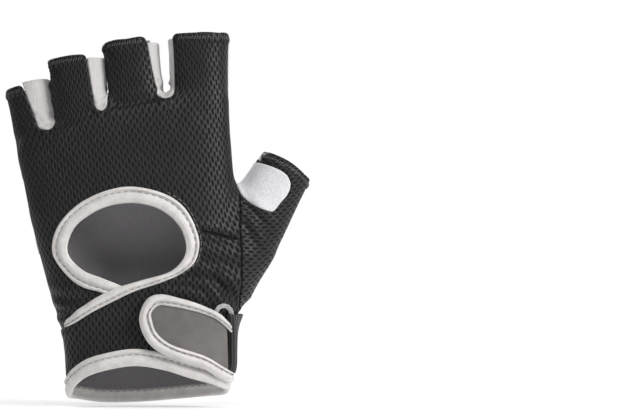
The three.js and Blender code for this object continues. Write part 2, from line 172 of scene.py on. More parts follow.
# The bound edge round the oval and on along the band: pairs of (x, z) at its two edges
OVAL_BINDING = [
    ((-8.5, 49.5), (-16.6, 45.9)), ((-12, 52.4), (-20.2, 49.7)), ((-22.5, 56.6), (-29.9, 52.9)),
    ((-30.4, 59.8), (-36.4, 57.6)), ((-37.2, 66.7), (-42.9, 66.9)), ((-37.9, 72), (-43.4, 73.3)),
    ((-34.7, 80), (-39.9, 82.2)), ((-28.5, 85.6), (-31.5, 90.6)), ((-19.3, 90.2), (-19.3, 96.5)),
    ((-7.8, 92), (-6.9, 98.4)), ((4.1, 89.7), (8.3, 94.8)), ((11.5, 85.1), (16.6, 88.8)),
    ((16.6, 78.2), (21.9, 79)), ((18.4, 70.8), (23.2, 71)), ((17, 65.3), (21.3, 64.2)),
    ((11.5, 59.8), (15.4, 59)), ((-0.9, 55.9), (5.6, 54.6)), ((-11.5, 52.6), (-6.4, 50.6)),
    ((-17.5, 49.9), (-15.6, 46.2)), ((-24.8, 46.1), (-24.8, 41.4)), ((-32.6, 40.6), (-32.6, 36.4)),
    ((-35.8, 37.6), (-36.2, 34.8)), ((-37.8, 35.2), (-38, 34)),
]
# The tab and the pale edge round it
TAB_OUTER = [(34.4, 9.6), (30.2, 12.2), (24.8, 16.1), (13.5, 20.3), (4.2, 24.8), (-1, 31.2), (-2.8, 39.3),
             (0.8, 47), (5.6, 48.8), (15.7, 46.9), (25.5, 43.6), (31.6, 40), (34.2, 36.6)]
TAB_INNER = [(34.4, 13.6), (31, 16.6), (24.8, 21.2), (10.1, 26.9), (4.1, 32.2), (2.2, 37.5), (2, 41.4),
             (5.3, 44.6), (9, 44.5), (19.3, 42.4), (28.4, 39.2), (32, 35.9), (34.2, 32.4)]
RING = {"left": 30.8, "right": 38.4, "low": 11.5, "high": 44.6, "corner": 3.9}
RING_LIFT = 2.7
RING_ROD = 1.1
# The webbing loop: its low edge and width, then how far its middle runs from the middle of the ring's arm and
# how high over the glove, and the direction round the wrist in which it ends
LOOP_FOOT = 13
LOOP_WIDTH = 27
LOOP_TURN = 1.65
LOOP_LOW = 1.0
LOOP_END = 108

OVAL_EDGE_WIDTH = 6.2
CUFF_WIDTH = 6.9
TAB_EDGE_WIDTH = 5.0
TAB_THICK = 2.2
TAB_LIFT = 3.4
STITCH_DEPTH = 0.45
# The depth at which the patch on the thumb turns from its outline on the back to the one on the palm
PATCH_TURN = 4
PALM_LIFT = 0.45
PAD_RISE = 1.1
PAD_SLOPE = 5.0
CHANNEL_DEPTH = 0.55

# Seams and outlines on the palm, as (x, z)
SUEDE_LOW = [(-70, 68.5), (-48.4, 66.8), (-40.5, 60), (-28.3, 54.3), (-17.5, 49.7), (-8, 45.7),
             (1.2, 44.6), (6.6, 48.6), (9.1, 55.4), (9, 65.5)]
WRIST_SIDE = [(12.2, 59), (17.9, 49.7), (24, 42.9), (30.8, 38.9), (35.3, 40), (60, 40), (60, -60), (-80, -60)]
KEYSTONE_EDGE = [(9, 65.5), (8.2, 72.5), (7.8, 84), (10, 92), (16.3, 96.5), (22.9, 97.7), (28.4, 97.6),
                 (34, 97.6), (44, 103)]
KEYSTONE_LOW = [(9, 65.5), (12.2, 59), (17.9, 49.7), (24, 42.9), (30.8, 38.9), (35.3, 40)]
OUTER_SEAM = [(35.3, 40), (38.5, 51), (46.2, 61), (55.9, 74.5), (65.8, 93.1), (72, 106)]
OUTER_SIDE = [(76, 130), (110, 130), (110, 30), (50, 30)]
PATCH_PALM = [(38.4, 97.5), (40.9, 91.5), (45.7, 94.2), (48, 100), (49.5, 109.9), (45, 114), (41.6, 104)]
PAD_BAR = [(-54.6, 111.2), (-50.5, 114.6), (-42.2, 115.2), (-30.2, 115.4), (-15.5, 116.1), (-3.3, 117),
           (8.8, 121), (18.5, 124.4), (26.5, 125.8), (31.4, 123.6), (31.8, 119.4), (28, 115), (17.6, 110.8),
           (7.4, 107.6), (-2.8, 105.6), (-13.6, 105.8), (-24.3, 106.2), (-37, 106.4), (-49.4, 107.4),
           (-54, 108.8)]
PAD_BIG = [(-0.8, 97.6), (-3.4, 99.8), (-19.4, 98.6), (-33.1, 96.2), (-42.4, 92.6), (-47.2, 86.6),
           (-48.4, 80.3), (-47, 74), (-43, 67.9), (-37.1, 63.8), (-30.7, 63.1), (-26.8, 65), (-23.4, 71.9),
           (-20.8, 78.9), (-17.5, 85.2), (-11.2, 90.9), (-3.5, 95.4)]
PAD_SMALL = [(2.1, 91.6), (2.8, 88.7), (0.5, 82.4), (-0.1, 74), (1.3, 64.8), (1.8, 56.4), (-0.5, 51.8),
             (-6, 51.1), (-11.9, 52.9), (-15.8, 58.5), (-17.2, 64.8), (-16.5, 72.5), (-13.8, 79.6),
             (-8.5, 86.6), (-2.8, 91.2)]
PADS = (PAD_BAR, PAD_BIG, PAD_SMALL)

# Folds and hollows of the worn cloth: face, line as (x, z), depth and width
FOLDS = [
    ("back", [(-20, 134.8), (-12, 136.2), (-3, 138.2), (6, 140.4)], 0.8, 1.7),
    ("back", [(-18, 133), (-10, 134.4), (0, 136.6)], 0.3, 3.4),
    ("back", [(-43, 126.5), (-34, 130.5), (-22, 134)], 0.7, 2.6),
    ("back", [(19, 79), (30, 77.6), (41, 74.4)], 0.8, 1.2),
    ("back", [(21, 66), (30, 63), (41, 62)], 0.9, 2.6),
    ("back", [(10, 56.5), (22, 57.5), (33, 53.5), (41, 47)], 1.3, 2.4),
    ("back", [(5, 52), (18, 53), (30, 49)], 0.8, 1.6),
    ("back", [(28, 60), (34, 52), (37, 45)], 0.7, 2.0),
    ("back", [(-48, 50), (-40, 47.5), (-30, 46)], 0.8, 2.2),
    ("back", [(-46, 44.4), (-40, 41.6), (-34, 41)], 1.5, 1.6),
    ("back", [(-44, 35.5), (-40, 34), (-36, 34.5)], 1.2, 1.4),
    ("back", [(44, 92), (52, 82), (58, 72)], 0.9, 2.0),
    ("back", [(42, 84), (47, 76), (52, 66)], 0.7, 1.8),
    ("palm", [(-38, 25), (-22, 31), (-4, 42)], 0.9, 3.4),
    ("palm", [(30, 12), (18, 25), (16, 40)], 0.7, 3.2),
    ("palm", [(-46, 43), (-41, 40), (-30, 42)], 1.2, 2.2),
    ("palm", [(38, 44), (30, 36), (18, 33)], 1.0, 2.4),
    ("palm", [(-44, 100), (-20, 102.5), (6, 101.5), (24, 104)], 0.6, 3.0),
]

# The knit: the holes' pitch along the cloth as a share of the pitch across, and their half sizes
HOLE_SPACING = 1.4
HOLE_ACROSS = 0.185
HOLE_ALONG = 0.32

GREY_THREAD = ("grey_thread", (0.095, 0.092, 0.09))
PALM_THREAD = ("palm_thread", (0.13, 0.125, 0.12))
SEAM_THREAD = ("seam_thread", (0.16, 0.155, 0.15))
BINDING_THREAD = ("binding_thread", (0.36, 0.34, 0.33))


def smoothstep(low, high, value):
    t = np.clip((value - low) / (high - low), 0, 1)
    return t * t * (3 - 2 * t)


def smooth_min(a, b, k):
    h = np.clip(0.5 + 0.5 * (b - a) / k, 0, 1)
    return b + (a - b) * h - k * h * (1 - h)


def smooth_max(a, b, k):
    return -smooth_min(-a, -b, k)


def unit(vectors):
    """The same directions with length 1."""
    return vectors / np.maximum(np.linalg.norm(vectors, axis=-1, keepdims=True), 1e-6)


def run_lengths(line):
    """The length along a line up to each of its points."""
    return np.r_[0, np.cumsum(np.linalg.norm(np.diff(line, axis=0), axis=1))]


def line_at(line, lengths, at):
    """The places on a line, or the values along it, at some lengths."""
    return np.column_stack([np.interp(at, lengths, column) for column in line.T])


def cell_corners(inner):
    """The eight corners of a grid cell, each with its weight at the places inner within the cell."""
    for corner in np.ndindex(2, 2, 2):
        x, y, z = (inner[:, k] if corner[k] else 1 - inner[:, k] for k in range(3))
        yield corner, x * y * z


def seam_distance(points):
    """How far points lie on the palm's side of the side seam, which turns back along the little finger."""
    x, y, z = points.T
    edge = -44.7 - 0.15 * (z - 140)
    turn = 5.5 * smoothstep(edge + 1.5, edge - 1.5, x) * smoothstep(108, 132, z)
    turn += 3.5 * smoothstep(edge - 1.5, edge + 1.5, x) * smoothstep(-22, -25, x) * smoothstep(128, 146, z)
    return y - (SEAM_AT + SEAM_PER_X * x + SEAM_PER_Z * z + turn)


def line_distance(points, line, closed=False):
    """The distance of 2D points from a line of straight stretches."""
    line = np.asarray(line, float)
    best = np.full(len(points), 1e9)
    pairs = list(zip(line[:-1], line[1:]))
    if closed:
        pairs.append((line[-1], line[0]))
    for a, b in pairs:
        ab = b - a
        t = np.clip(((points - a) @ ab) / max(ab @ ab, 1e-9), 0, 1)
        best = np.minimum(best, np.hypot(*(points - a - t[:, None] * ab).T))
    return best


def area_distance(points, outline):
    """The signed distance of 2D points from an outline, negative inside."""
    outline = np.asarray(outline, float)
    inside = np.zeros(len(points), bool)
    x, z = points.T
    for (x0, z0), (x1, z1) in zip(outline, np.roll(outline, -1, axis=0)):
        crosses = (z0 > z) != (z1 > z)
        run = np.divide((x1 - x0) * (z - z0), z1 - z0, out=np.zeros_like(z), where=crosses)
        inside ^= crosses & (x < run + x0)
    distance = line_distance(points, outline, closed=True)
    return np.where(inside, -distance, distance)


def smooth_line(points, closed=False, spacing=1.0):
    """A Catmull-Rom line through points, resampled at an even spacing."""
    pts = np.asarray(points, float)
    count = len(pts)
    dense = []
    for i in range(count if closed else count - 1):
        p0 = pts[(i - 1) % count] if closed or i else 2 * pts[0] - pts[1]
        p1, p2 = pts[i], pts[(i + 1) % count]
        p3 = pts[(i + 2) % count] if closed or i + 2 < count else 2 * pts[-1] - pts[-2]
        knots = [0.0]
        for a, b in ((p0, p1), (p1, p2), (p2, p3)):
            knots.append(knots[-1] + max(np.linalg.norm(b - a), 1e-6) ** 0.5)
        t = np.linspace(knots[1], knots[2], 16, endpoint=False)[:, None]

        def between(a, b, first, last):
            low, high = knots[first], knots[last]
            return (high - t) / (high - low) * a + (t - low) / (high - low) * b
        a1, a2, a3 = between(p0, p1, 0, 1), between(p1, p2, 1, 2), between(p2, p3, 2, 3)
        dense.append(between(between(a1, a2, 0, 2), between(a2, a3, 1, 3), 1, 2))
    line = np.vstack(dense + [pts[:1] if closed else pts[-1:]])
    return even_line(line, spacing)


def even_line(line, spacing):
    """The same line with points at an even spacing."""
    lengths = run_lengths(line)
    steps = max(2, int(round(lengths[-1] / spacing)) + 1)
    return line_at(line, lengths, np.linspace(0, lengths[-1], steps))


@functools.lru_cache(maxsize=None)
def noise_table(seed):
    return np.random.default_rng(seed).uniform(-1, 1, (32, 32, 32))


def noise(points, scale, seed):
    """Smooth random values from -1 to 1, with bumps about scale wide."""
    table = noise_table(seed)
    p = points / scale
    cell = np.floor(p).astype(int)
    f = p - cell
    f = f * f * (3 - 2 * f)
    total = 0
    for corner, weight in cell_corners(f):
        total = total + weight * table[tuple(((cell + corner) % 32).T)]
    return total


class Glove:
    """The smooth glove surface: a field of distances on a grid, zero in the middle of the cloth."""

    LOW = np.array([-82.0, -30.0, -13.0])
    HIGH = np.array([84.0, 34.0, 181.0])
    INSET = 0.75

    def __init__(self, step):
        self.step = step
        self.axes = [np.arange(lo, hi, step) for lo, hi in zip(self.LOW, self.HIGH)]
        x, y, z = self.axes
        self.rows = self.hand_rows(x, z)
        field = self.hand_field(x, y, z)
        fingers = np.full(field.shape, 1e3)
        for finger in FINGERS:
            self.add_finger(fingers, finger)
        field = smooth_min(field, fingers, 4.0)
        field = smooth_min(field, self.thumb_field(x, y, z), 8.0)
        self.field = field
        self.slope = np.stack(np.gradient(field, step), axis=-1).astype(np.float32)
        self.verts, self.tris = self.surface_nets()
        for _ in range(3):
            self.verts = self.project(self.verts)
        self.normals = self.normal_at(self.verts)

    def hand_rows(self, x, z):
        """left, right, y and half thickness of the hand over a grid of x and z."""
        rows = dict(zip(HAND_COLUMNS, np.array(HAND, float).T))
        part = (x[:, None] - rows["left"]) / (rows["right"] - rows["left"])
        heights = rows["z_left"] + (rows["z_right"] - rows["z_left"]) * part
        grid = np.array([[np.interp(z, knots, rows[column]) for knots in heights]
                         for column in HAND_COLUMNS[2:]])
        reach = int(round(9 / self.step))
        kernel = np.exp(-0.5 * (np.arange(-reach, reach + 1) * self.step / 3.2) ** 2)
        kernel /= kernel.sum()
        padded = np.pad(grid, ((0, 0), (0, 0), (reach, reach)), mode="edge")
        return sum(w * padded[:, :, i:i + grid.shape[2]] for i, w in enumerate(kernel))

    @staticmethod
    def round_field(u, v, a, b, power):
        """A first-order distance from a rounded oval with half sizes a and b."""
        u, v = np.abs(u) / a, np.abs(v) / b
        f = np.maximum((u ** power + v ** power) ** (1 / power), 0.05)
        slope = f ** (1 - power) * np.sqrt((u ** (power - 1) / a) ** 2 + (v ** (power - 1) / b) ** 2)
        return (f - 1) / np.maximum(slope, 0.6 / np.maximum(a, b))

    def hand_field(self, x, y, z):
        left, right, middle, half = self.rows
        centre = (left + right) / 2
        across = x[:, None] - centre
        a, b = (right - left) / 2 - self.INSET, half - self.INSET
        deep = y[None, :, None] - (middle + HAND_FALL * across)[:, None, :]
        field = self.round_field(across[:, None, :], deep, a[:, None, :], b[:, None, :], HAND_ROUND)
        top = z[None, None, :] - np.interp(x, WEB_X, WEB_Z)[:, None, None]
        return smooth_max(field, 0.95 * top + np.zeros_like(field), 9.0)

    def finger_frame(self, finger):
        root, end = np.array(finger[0], float), np.array(finger[1], float)
        length = np.linalg.norm(end - root)
        axis = (end - root) / length
        turn = math.radians(finger[4])
        across = np.array([math.cos(turn), math.sin(turn), 0])
        across = unit(across - axis * (across @ axis))
        return root, end, axis, across, np.cross(axis, across), length

    def add_finger(self, field, finger):
        root, end, axis, across, deep, length = self.finger_frame(finger)
        reach = 22
        ends = zip(self.axes, np.minimum(root, end) - reach, np.maximum(root, end) + reach)
        window = tuple(slice(*np.searchsorted(axis_points, (low, high))) for axis_points, low, high in ends)
        parts = [axis_points[piece] for axis_points, piece in zip(self.axes, window)]
        points = np.stack(np.meshgrid(*parts, indexing="ij"), axis=-1) - root
        along = points @ axis
        part = along / length
        wide = np.interp(part, (0, 0.25, 0.5, 0.8, 0.93, 1.0), (0.72, 0.86, 0.97, 0.985, 1.01, 0.97))
        thick = np.interp(part, (0, 0.25, 0.45, 0.93, 1.0), (0.8, 0.95, 1.03, 1.0, 0.94))
        value = self.round_field(points @ across, points @ deep, finger[2] * wide - self.INSET,
                                 finger[3] * thick - self.INSET, FINGER_ROUND)
        value = np.maximum(value, -along)
        field[window] = np.minimum(field[window], value)

    def thumb_rows(self):
        across = np.array([math.cos(THUMB_LEAN), math.sin(THUMB_LEAN)])
        axis = np.array([-across[1], across[0]])
        centres = np.array([row[0] for row in THUMB], float)
        flat = centres[:, [0, 2]]
        return axis, across, flat @ axis, flat @ across, centres[:, 1]

    def thumb_field(self, x, y, z):
        axis, across, along, offset, depth = self.thumb_rows()
        s = x[:, None] * axis[0] + z[None, :] * axis[1]
        c = x[:, None] * across[0] + z[None, :] * across[1]
        drawn = 1 - 0.09 * smoothstep(-4.5, 0.5, s - along[-1])
        wide = np.interp(s, along, [row[1] for row in THUMB]) * drawn - self.INSET
        thick = np.interp(s, along, [row[2] for row in THUMB]) * drawn - self.INSET
        side = c - np.interp(s, along, offset)
        middle = np.interp(s, along, depth)
        value = self.round_field(side[:, None, :], y[None, :, None] - middle[:, None, :], wide[:, None, :],
                                 thick[:, None, :], THUMB_ROUND)
        return np.maximum(value, (along[0] - s)[:, None, :])

    def surface_nets(self):
        """Quads round the zero of the field, split into triangles."""
        inside = self.field < 0
        shape = np.array(inside.shape) - 1
        corners = list(np.ndindex(2, 2, 2))
        count = np.zeros(shape, np.int8)
        for i, j, k in corners:
            count += inside[i:i + shape[0], j:j + shape[1], k:k + shape[2]]
        cells = np.argwhere((count > 0) & (count < 8))
        index = np.full(shape, -1, np.int64)
        index[tuple(cells.T)] = np.arange(len(cells))
        total = np.zeros((len(cells), 3))
        hits = np.zeros(len(cells))
        for a in corners:
            for axis in range(3):
                if a[axis]:
                    continue
                b = list(a)
                b[axis] = 1
                fa = self.field[tuple((cells + a).T)]
                fb = self.field[tuple((cells + b).T)]
                cross = (fa < 0) != (fb < 0)
                t = np.where(cross, fa / np.where(cross, fa - fb, 1), 0)
                total += np.where(cross[:, None], np.array(a) + t[:, None] * (np.array(b) - a), 0)
                hits += cross
        verts = (cells + total / hits[:, None]) * self.step + self.LOW
        quads = []
        for axis in range(3):
            u, v = (axis + 1) % 3, (axis + 2) % 3
            low = [slice(None)] * 3
            high = [slice(None)] * 3
            low[axis], high[axis] = slice(0, -1), slice(1, None)
            a, b = inside[tuple(low)], inside[tuple(high)]
            edges = np.argwhere(a != b)
            keep = (edges[:, u] > 0) & (edges[:, v] > 0) & (edges[:, u] < shape[u]) & (edges[:, v] < shape[v])
            edges = edges[keep]
            flip = b[tuple(edges.T)]
            around = []
            for du, dv in ((-1, -1), (0, -1), (0, 0), (-1, 0)):
                cell = edges.copy()
                cell[:, u] += du
                cell[:, v] += dv
                around.append(index[tuple(cell.T)])
            quad = np.stack(around, axis=1)
            quad[flip] = quad[flip][:, ::-1]
            quads.append(quad)
        quads = np.vstack(quads)
        return verts, np.vstack([quads[:, [0, 1, 2]], quads[:, [0, 2, 3]]])

    def sample(self, volume, points):
        p = (points - self.LOW) / self.step
        top = np.array(volume.shape[:3]) - 1.001
        p = np.clip(p, 0, top)
        cell = p.astype(int)
        f = p - cell
        total = 0
        for corner, weight in cell_corners(f):
            value = volume[tuple((cell + corner).T)]
            total = total + (weight[:, None] * value if value.ndim == 2 else weight * value)
        return total

    def project(self, points):
        slope = self.sample(self.slope, points)
        size = np.maximum(np.sum(slope ** 2, axis=1), 0.05)
        return points - (self.sample(self.field, points) / size)[:, None] * slope

    def normal_at(self, points):
        return unit(self.sample(self.slope, points))

    def on_face(self, flat, face, offset=0.0):
        """Points of the surface that show at (x, z) on the back or the palm, with their normals."""
        flat = np.asarray(flat, float)
        y = self.axes[1] if face == "back" else self.axes[1][::-1]
        points = np.column_stack([np.repeat(flat, len(y), axis=0), np.tile(y, len(flat))])[:, [0, 2, 1]]
        values = self.sample(self.field, points).reshape(len(flat), len(y)) - offset
        first = np.argmax(values < 0, axis=1)
        first = np.where(values.min(axis=1) < 0, first, np.argmin(values, axis=1))
        first = np.clip(first, 1, len(y) - 1)
        row = np.arange(len(flat))
        a, b = values[row, first - 1], values[row, first]
        t = np.clip(np.where(a != b, a / np.where(a != b, a - b, 1), 0), 0, 1)
        hit = y[first - 1] + t * (y[first] - y[first - 1])
        result = np.column_stack([flat[:, 0], hit, flat[:, 1]])
        return result, self.normal_at(result)

    @functools.cached_property
    def fingers(self):
        """For each vertex: its finger, the angle round it from the back, and the length left to its hem."""
        return finger_place(self, self.verts)


def finger_place(glove, points):
    best = np.full(len(points), 1e9)
    which = np.zeros(len(points), int)
    angle = np.zeros(len(points))
    left = np.zeros(len(points))
    for i, finger in enumerate(FINGERS):
        root, _, axis, _, _, length = glove.finger_frame(finger)
        local = points - root
        along = local @ axis
        away = local - along[:, None] * axis
        distance = np.hypot(away[:, 0], 0.7 * away[:, 1])
        nearer = distance < best
        best = np.where(nearer, distance, best)
        which = np.where(nearer, i, which)
        angle = np.where(nearer, np.degrees(np.arctan2(away[:, 0], -away[:, 1])), angle)
        left = np.where(nearer, length - along, left)
    return which, angle, left


def thumb_place(glove, points):
    """The length along the thumb, the angle round it from the back, and the length left to its hem."""
    axis, across, along, offset, depth = glove.thumb_rows()
    flat = points[:, [0, 2]]
    s = flat @ axis
    side = flat @ across - np.interp(s, along, offset)
    deep = points[:, 1] - np.interp(s, along, depth)
    return s, np.arctan2(side, -deep), along[-1] - s, side, deep


@functools.lru_cache(maxsize=None)
def glove_at(step):
    return Glove(step)


def relief(points, normals):
    """How far the worn cloth rises and falls: folds, hollows and a slight unevenness."""
    flat = points[:, [0, 2]]
    back = smoothstep(-0.15, 0.35, -normals[:, 1])
    palm = smoothstep(-0.15, 0.35, normals[:, 1])
    height = 0.3 * noise(points, 17, 3) + 0.14 * noise(points, 6.5, 4)
    for face, line, depth, width in FOLDS:
        distance = line_distance(flat, smooth_line(line, spacing=2.0))
        ends = np.array([line[0], line[-1]], float)
        fade = smoothstep(0.5, 7.0, np.min([np.hypot(*(flat - e).T) for e in ends], axis=0) + 1.5)
        valley = np.exp(-(distance / width) ** 2)
        ridge = 0.45 * np.exp(-((distance - 2.1 * width) / (1.1 * width)) ** 2)
        height -= depth * (valley - ridge) * fade * (back if face == "back" else palm)
    return height


def cut(verts, tris, level, extras, snap=0.1):
    """The part of a mesh where level is below zero, with the values in extras carried along."""
    level = np.where(np.abs(level) < snap, 0.0, level)
    inside = level <= 0
    count = inside[tris].sum(axis=1)
    strictly = (level[tris] < 0).any(axis=1)
    whole = tris[(count == 3) & strictly]
    values = [verts] + extras
    new_tris = [whole]
    crossing = tris[(count > 0) & (count < 3) & strictly]
    if len(crossing):
        flags = inside[crossing]
        alone = np.where(flags.sum(axis=1) == 1, np.argmax(flags, axis=1), np.argmax(~flags, axis=1))
        order = (alone[:, None] + np.arange(3)) % 3
        turned = np.take_along_axis(crossing, order, axis=1)
        single = inside[turned[:, 0]]
        edges = np.sort(np.vstack([turned[:, [0, 1]], turned[:, [0, 2]]]), axis=1)
        keys, where = np.unique(edges, axis=0, return_inverse=True)
        where = where.ravel()
        la, lb = level[keys[:, 0]], level[keys[:, 1]]
        t = np.clip(la / np.where(la != lb, la - lb, 1), 0, 1)
        start = len(verts)
        ends = [(v, v[keys[:, 0]], v[keys[:, 1]]) for v in values]
        values = [np.concatenate([v, first + ((last - first).T * t).T]) for v, first, last in ends]
        p, q = start + where[:len(turned)], start + where[len(turned):]
        a, b, c = turned.T
        new_tris.append(np.column_stack([a, p, q])[single])
        two = ~single
        new_tris.append(np.column_stack([p, b, c])[two])
        new_tris.append(np.column_stack([p, c, q])[two])
    faces = np.vstack(new_tris)
    used, faces = np.unique(faces, return_inverse=True)
    faces = faces.reshape(-1, 3)
    result = [v[used] for v in values]
    return weld(result, faces)


def weld(values, faces, size=0.04):
    """Joins vertices that fall on each other and drops the triangles that vanish."""
    keys = np.round(values[0] / size).astype(np.int64)
    _, first, where = np.unique(keys, axis=0, return_index=True, return_inverse=True)
    faces = where.ravel()[faces]
    keep = (faces[:, 0] != faces[:, 1]) & (faces[:, 1] != faces[:, 2]) & (faces[:, 2] != faces[:, 0])
    faces = faces[keep]
    used, faces = np.unique(faces, return_inverse=True)
    return [v[first][used] for v in values], faces.reshape(-1, 3)


def distance_to(points, targets, reach=12.0):
    """The distance from each point to the nearest target."""
    tree = kdtree.KDTree(len(targets))
    for i, p in enumerate(targets):
        tree.insert(p, i)
    tree.balance()
    return np.array([min(tree.find(p)[2], reach) for p in points])


def level_lines(verts, faces, level, carried):
    """The lines where level is zero on a mesh, each as an ordered run of points and carried values."""
    sides = level > 0
    lines = {}
    points = {}
    for tri in faces[(sides[faces].sum(axis=1) % 3) != 0]:
        ends = []
        for a, b in ((tri[0], tri[1]), (tri[1], tri[2]), (tri[2], tri[0])):
            if sides[a] == sides[b]:
                continue
            key = (min(a, b), max(a, b))
            if key not in points:
                t = level[key[0]] / (level[key[0]] - level[key[1]])
                points[key] = (verts[key[0]] * (1 - t) + verts[key[1]] * t,
                               carried[key[0]] * (1 - t) + carried[key[1]] * t)
            ends.append(key)
        if len(ends) == 2:
            lines.setdefault(ends[0], []).append(ends[1])
            lines.setdefault(ends[1], []).append(ends[0])
    runs = []
    left = set(lines)
    while left:
        start = next((k for k in left if len(lines[k]) == 1), None) or next(iter(sorted(left)))
        run = [start]
        left.discard(start)
        while True:
            ahead = [k for k in lines[run[-1]] if k in left]
            if not ahead:
                break
            run.append(ahead[0])
            left.discard(ahead[0])
        closed = len(run) > 3 and run[0] in lines[run[-1]]
        if closed:
            run.append(run[0])
        if len(run) > 5:
            runs.append((np.array([points[k][0] for k in run]), np.array([points[k][1] for k in run])))
    return runs


def ripple_free(line, rounds=6):
    """A line with its small zigzags evened out."""
    line = line.copy()
    closed = np.linalg.norm(line[0] - line[-1]) < 0.01
    for _ in range(rounds):
        if closed:
            inner = line[:-1]
            inner = 0.5 * inner + 0.25 * (np.roll(inner, 1, axis=0) + np.roll(inner, -1, axis=0))
            line = np.vstack([inner, inner[:1]])
        else:
            line[1:-1] = 0.5 * line[1:-1] + 0.25 * (line[:-2] + line[2:])
    return line


def make_object(name, verts, faces, uv=None):
    """A mesh object in metres from millimetre vertices."""
    mesh = bpy.data.meshes.new(name)
    if isinstance(faces, np.ndarray):
        size = faces.shape[1]
        mesh.vertices.add(len(verts))
        mesh.vertices.foreach_set("co", (np.asarray(verts) * MM).astype(np.float32).ravel())
        mesh.loops.add(faces.size)
        mesh.loops.foreach_set("vertex_index", faces.astype(np.int32).ravel())
        mesh.polygons.add(len(faces))
        mesh.polygons.foreach_set("loop_start", np.arange(0, faces.size, size, dtype=np.int32))
        mesh.polygons.foreach_set("loop_total", np.full(len(faces), size, dtype=np.int32))
    else:
        mesh.from_pydata([tuple(v * MM) for v in np.asarray(verts)], [], faces)
    mesh.update(calc_edges=True)
    mesh.validate()
    mesh.polygons.foreach_set("use_smooth", [True] * len(mesh.polygons))
    if uv is not None:
        layer = mesh.uv_layers.new(name="Grain")
        corners = np.empty(len(mesh.loops), np.int32)
        mesh.loops.foreach_get("vertex_index", corners)
        layer.data.foreach_set("uv", np.asarray(uv, np.float32)[corners].ravel())
    obj = bpy.data.objects.new(name, mesh)
    bpy.context.scene.collection.objects.link(obj)
    return obj


def place(obj, material, slot, *nodes):
    """Gives a piece its finish and lets it stand for its CAD nodes."""
    obj.data.materials.clear()
    obj.data.materials.append(material)
    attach(obj, "root")
    if nodes:
        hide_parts(*nodes)
    return obj


def main_part(faces, count):
    """The triangles of the largest connected part of a mesh."""
    a = np.concatenate([faces[:, 0], faces[:, 1]])
    b = np.concatenate([faces[:, 1], faces[:, 2]])
    label = np.arange(count)
    while True:
        low = np.minimum(label[a], label[b])
        new = label.copy()
        np.minimum.at(new, a, low)
        np.minimum.at(new, b, low)
        new = new[new]
        if (new == label).all():
            break
        label = new
    names, size = np.unique(label[faces[:, 0]], return_counts=True)
    return faces[label[faces[:, 0]] == names[np.argmax(size)]]


def rim_distance(verts, faces, reach):
    """The distance of each vertex from the open edges of its mesh."""
    edges = np.sort(np.vstack([faces[:, [0, 1]], faces[:, [1, 2]], faces[:, [2, 0]]]), axis=1)
    pairs, count = np.unique(edges, axis=0, return_counts=True)
    pairs = pairs[count == 1]
    parts = np.linspace(0, 1, 7)[None, :, None]
    line = verts[pairs[:, 0]][:, None] * (1 - parts) + verts[pairs[:, 1]][:, None] * parts
    distance = distance_to(verts, line.reshape(-1, 3), reach)
    distance[np.unique(pairs)] = 0
    return distance


def split(values, faces, level):
    """The same mesh with its triangles cut along the line where level is zero."""
    below, faces_below = cut(values[0], faces, level, values[1:], snap=0.03)
    above, faces_above = cut(values[0], faces, -level, values[1:], snap=0.03)
    joined = [np.concatenate(pair) for pair in zip(below, above)]
    return weld(joined, np.vstack([faces_below, faces_above + len(below[0])]))


class Cloth:
    """One panel cut from the glove surface, kept as its middle layer for the stitching that lies on it."""

    def __init__(self, glove, level, lift=0.0, thick=1.3, carried=None, reach=7.0):
        lift = np.broadcast_to(np.asarray(lift, float), level.shape)
        extras = [glove.normals, lift.copy()] + list((carried or {}).values())
        values, faces = cut(glove.verts, glove.tris, level, extras, snap=0.05)
        faces = main_part(faces, len(values[0]))
        values, faces = weld(values, faces)
        for ring in (0.22, 0.6):
            values, faces = split(values, faces, rim_distance(values[0], faces, 3.0) - ring)
        self.base, self.normals, self.lift = values[:3]
        self.normals = unit(self.normals)
        self.carried = dict(zip(carried or {}, values[3:]))
        self.faces = faces
        self.thick = np.full(len(self.base), float(thick))
        self.rim = rim_distance(self.base, faces, reach)
        self.height = self.lift + relief(self.base, self.normals)

    def roll_edge(self, height, at, width):
        """Raises or sinks the cloth along its edges, for a turned edge or a sewn channel."""
        self.height = self.height + height * np.exp(-((self.rim - at) / width) ** 2)

    def turn_hem(self, left, width):
        """Folds the cloth double along its hem, where left is the length to the hem."""
        turned = smoothstep(width, width - 0.6, left)
        self.thick = self.thick + 0.7 * turned
        self.height = self.height + 0.2 * turned
        self.roll_edge(0.22, 1.0, 0.7)

    @property
    def middle(self):
        return self.base + self.normals * self.height[:, None]

    @property
    def top(self):
        return self.base + self.normals * (self.height + self.thick / 2)[:, None]

    def shell(self, name, uv):
        """The closed solid of the panel, with rounded edges."""
        half = self.thick / 2
        part = np.clip(self.rim / half, 0, 1)
        half = half * np.sqrt(1 - (1 - part) ** 2)
        middle = self.middle
        upper = middle + self.normals * half[:, None]
        lower = middle - self.normals * half[:, None]
        rim = self.rim <= 0
        index = np.arange(len(middle))
        index[~rim] = len(middle) + np.arange((~rim).sum())
        verts = np.vstack([upper, lower[~rim]])
        faces = np.vstack([self.faces, index[self.faces][:, ::-1]])
        return make_object(name, verts, faces, np.vstack([uv, uv[~rim]]))

    def contour(self, level):
        """The lines on the panel's outer face where level is zero, with their normals."""
        return level_lines(self.top, self.faces, level, self.normals)


def arc_table(power, ratio):
    """Arc lengths round a quarter of a rounded oval with half sizes 1 and ratio, against its angle."""
    t = np.linspace(0, math.pi / 2, 200)
    x = np.sin(t) ** (2 / power)
    y = ratio * np.cos(t) ** (2 / power)
    return t, np.r_[0, np.cumsum(np.hypot(np.diff(x), np.diff(y)))]


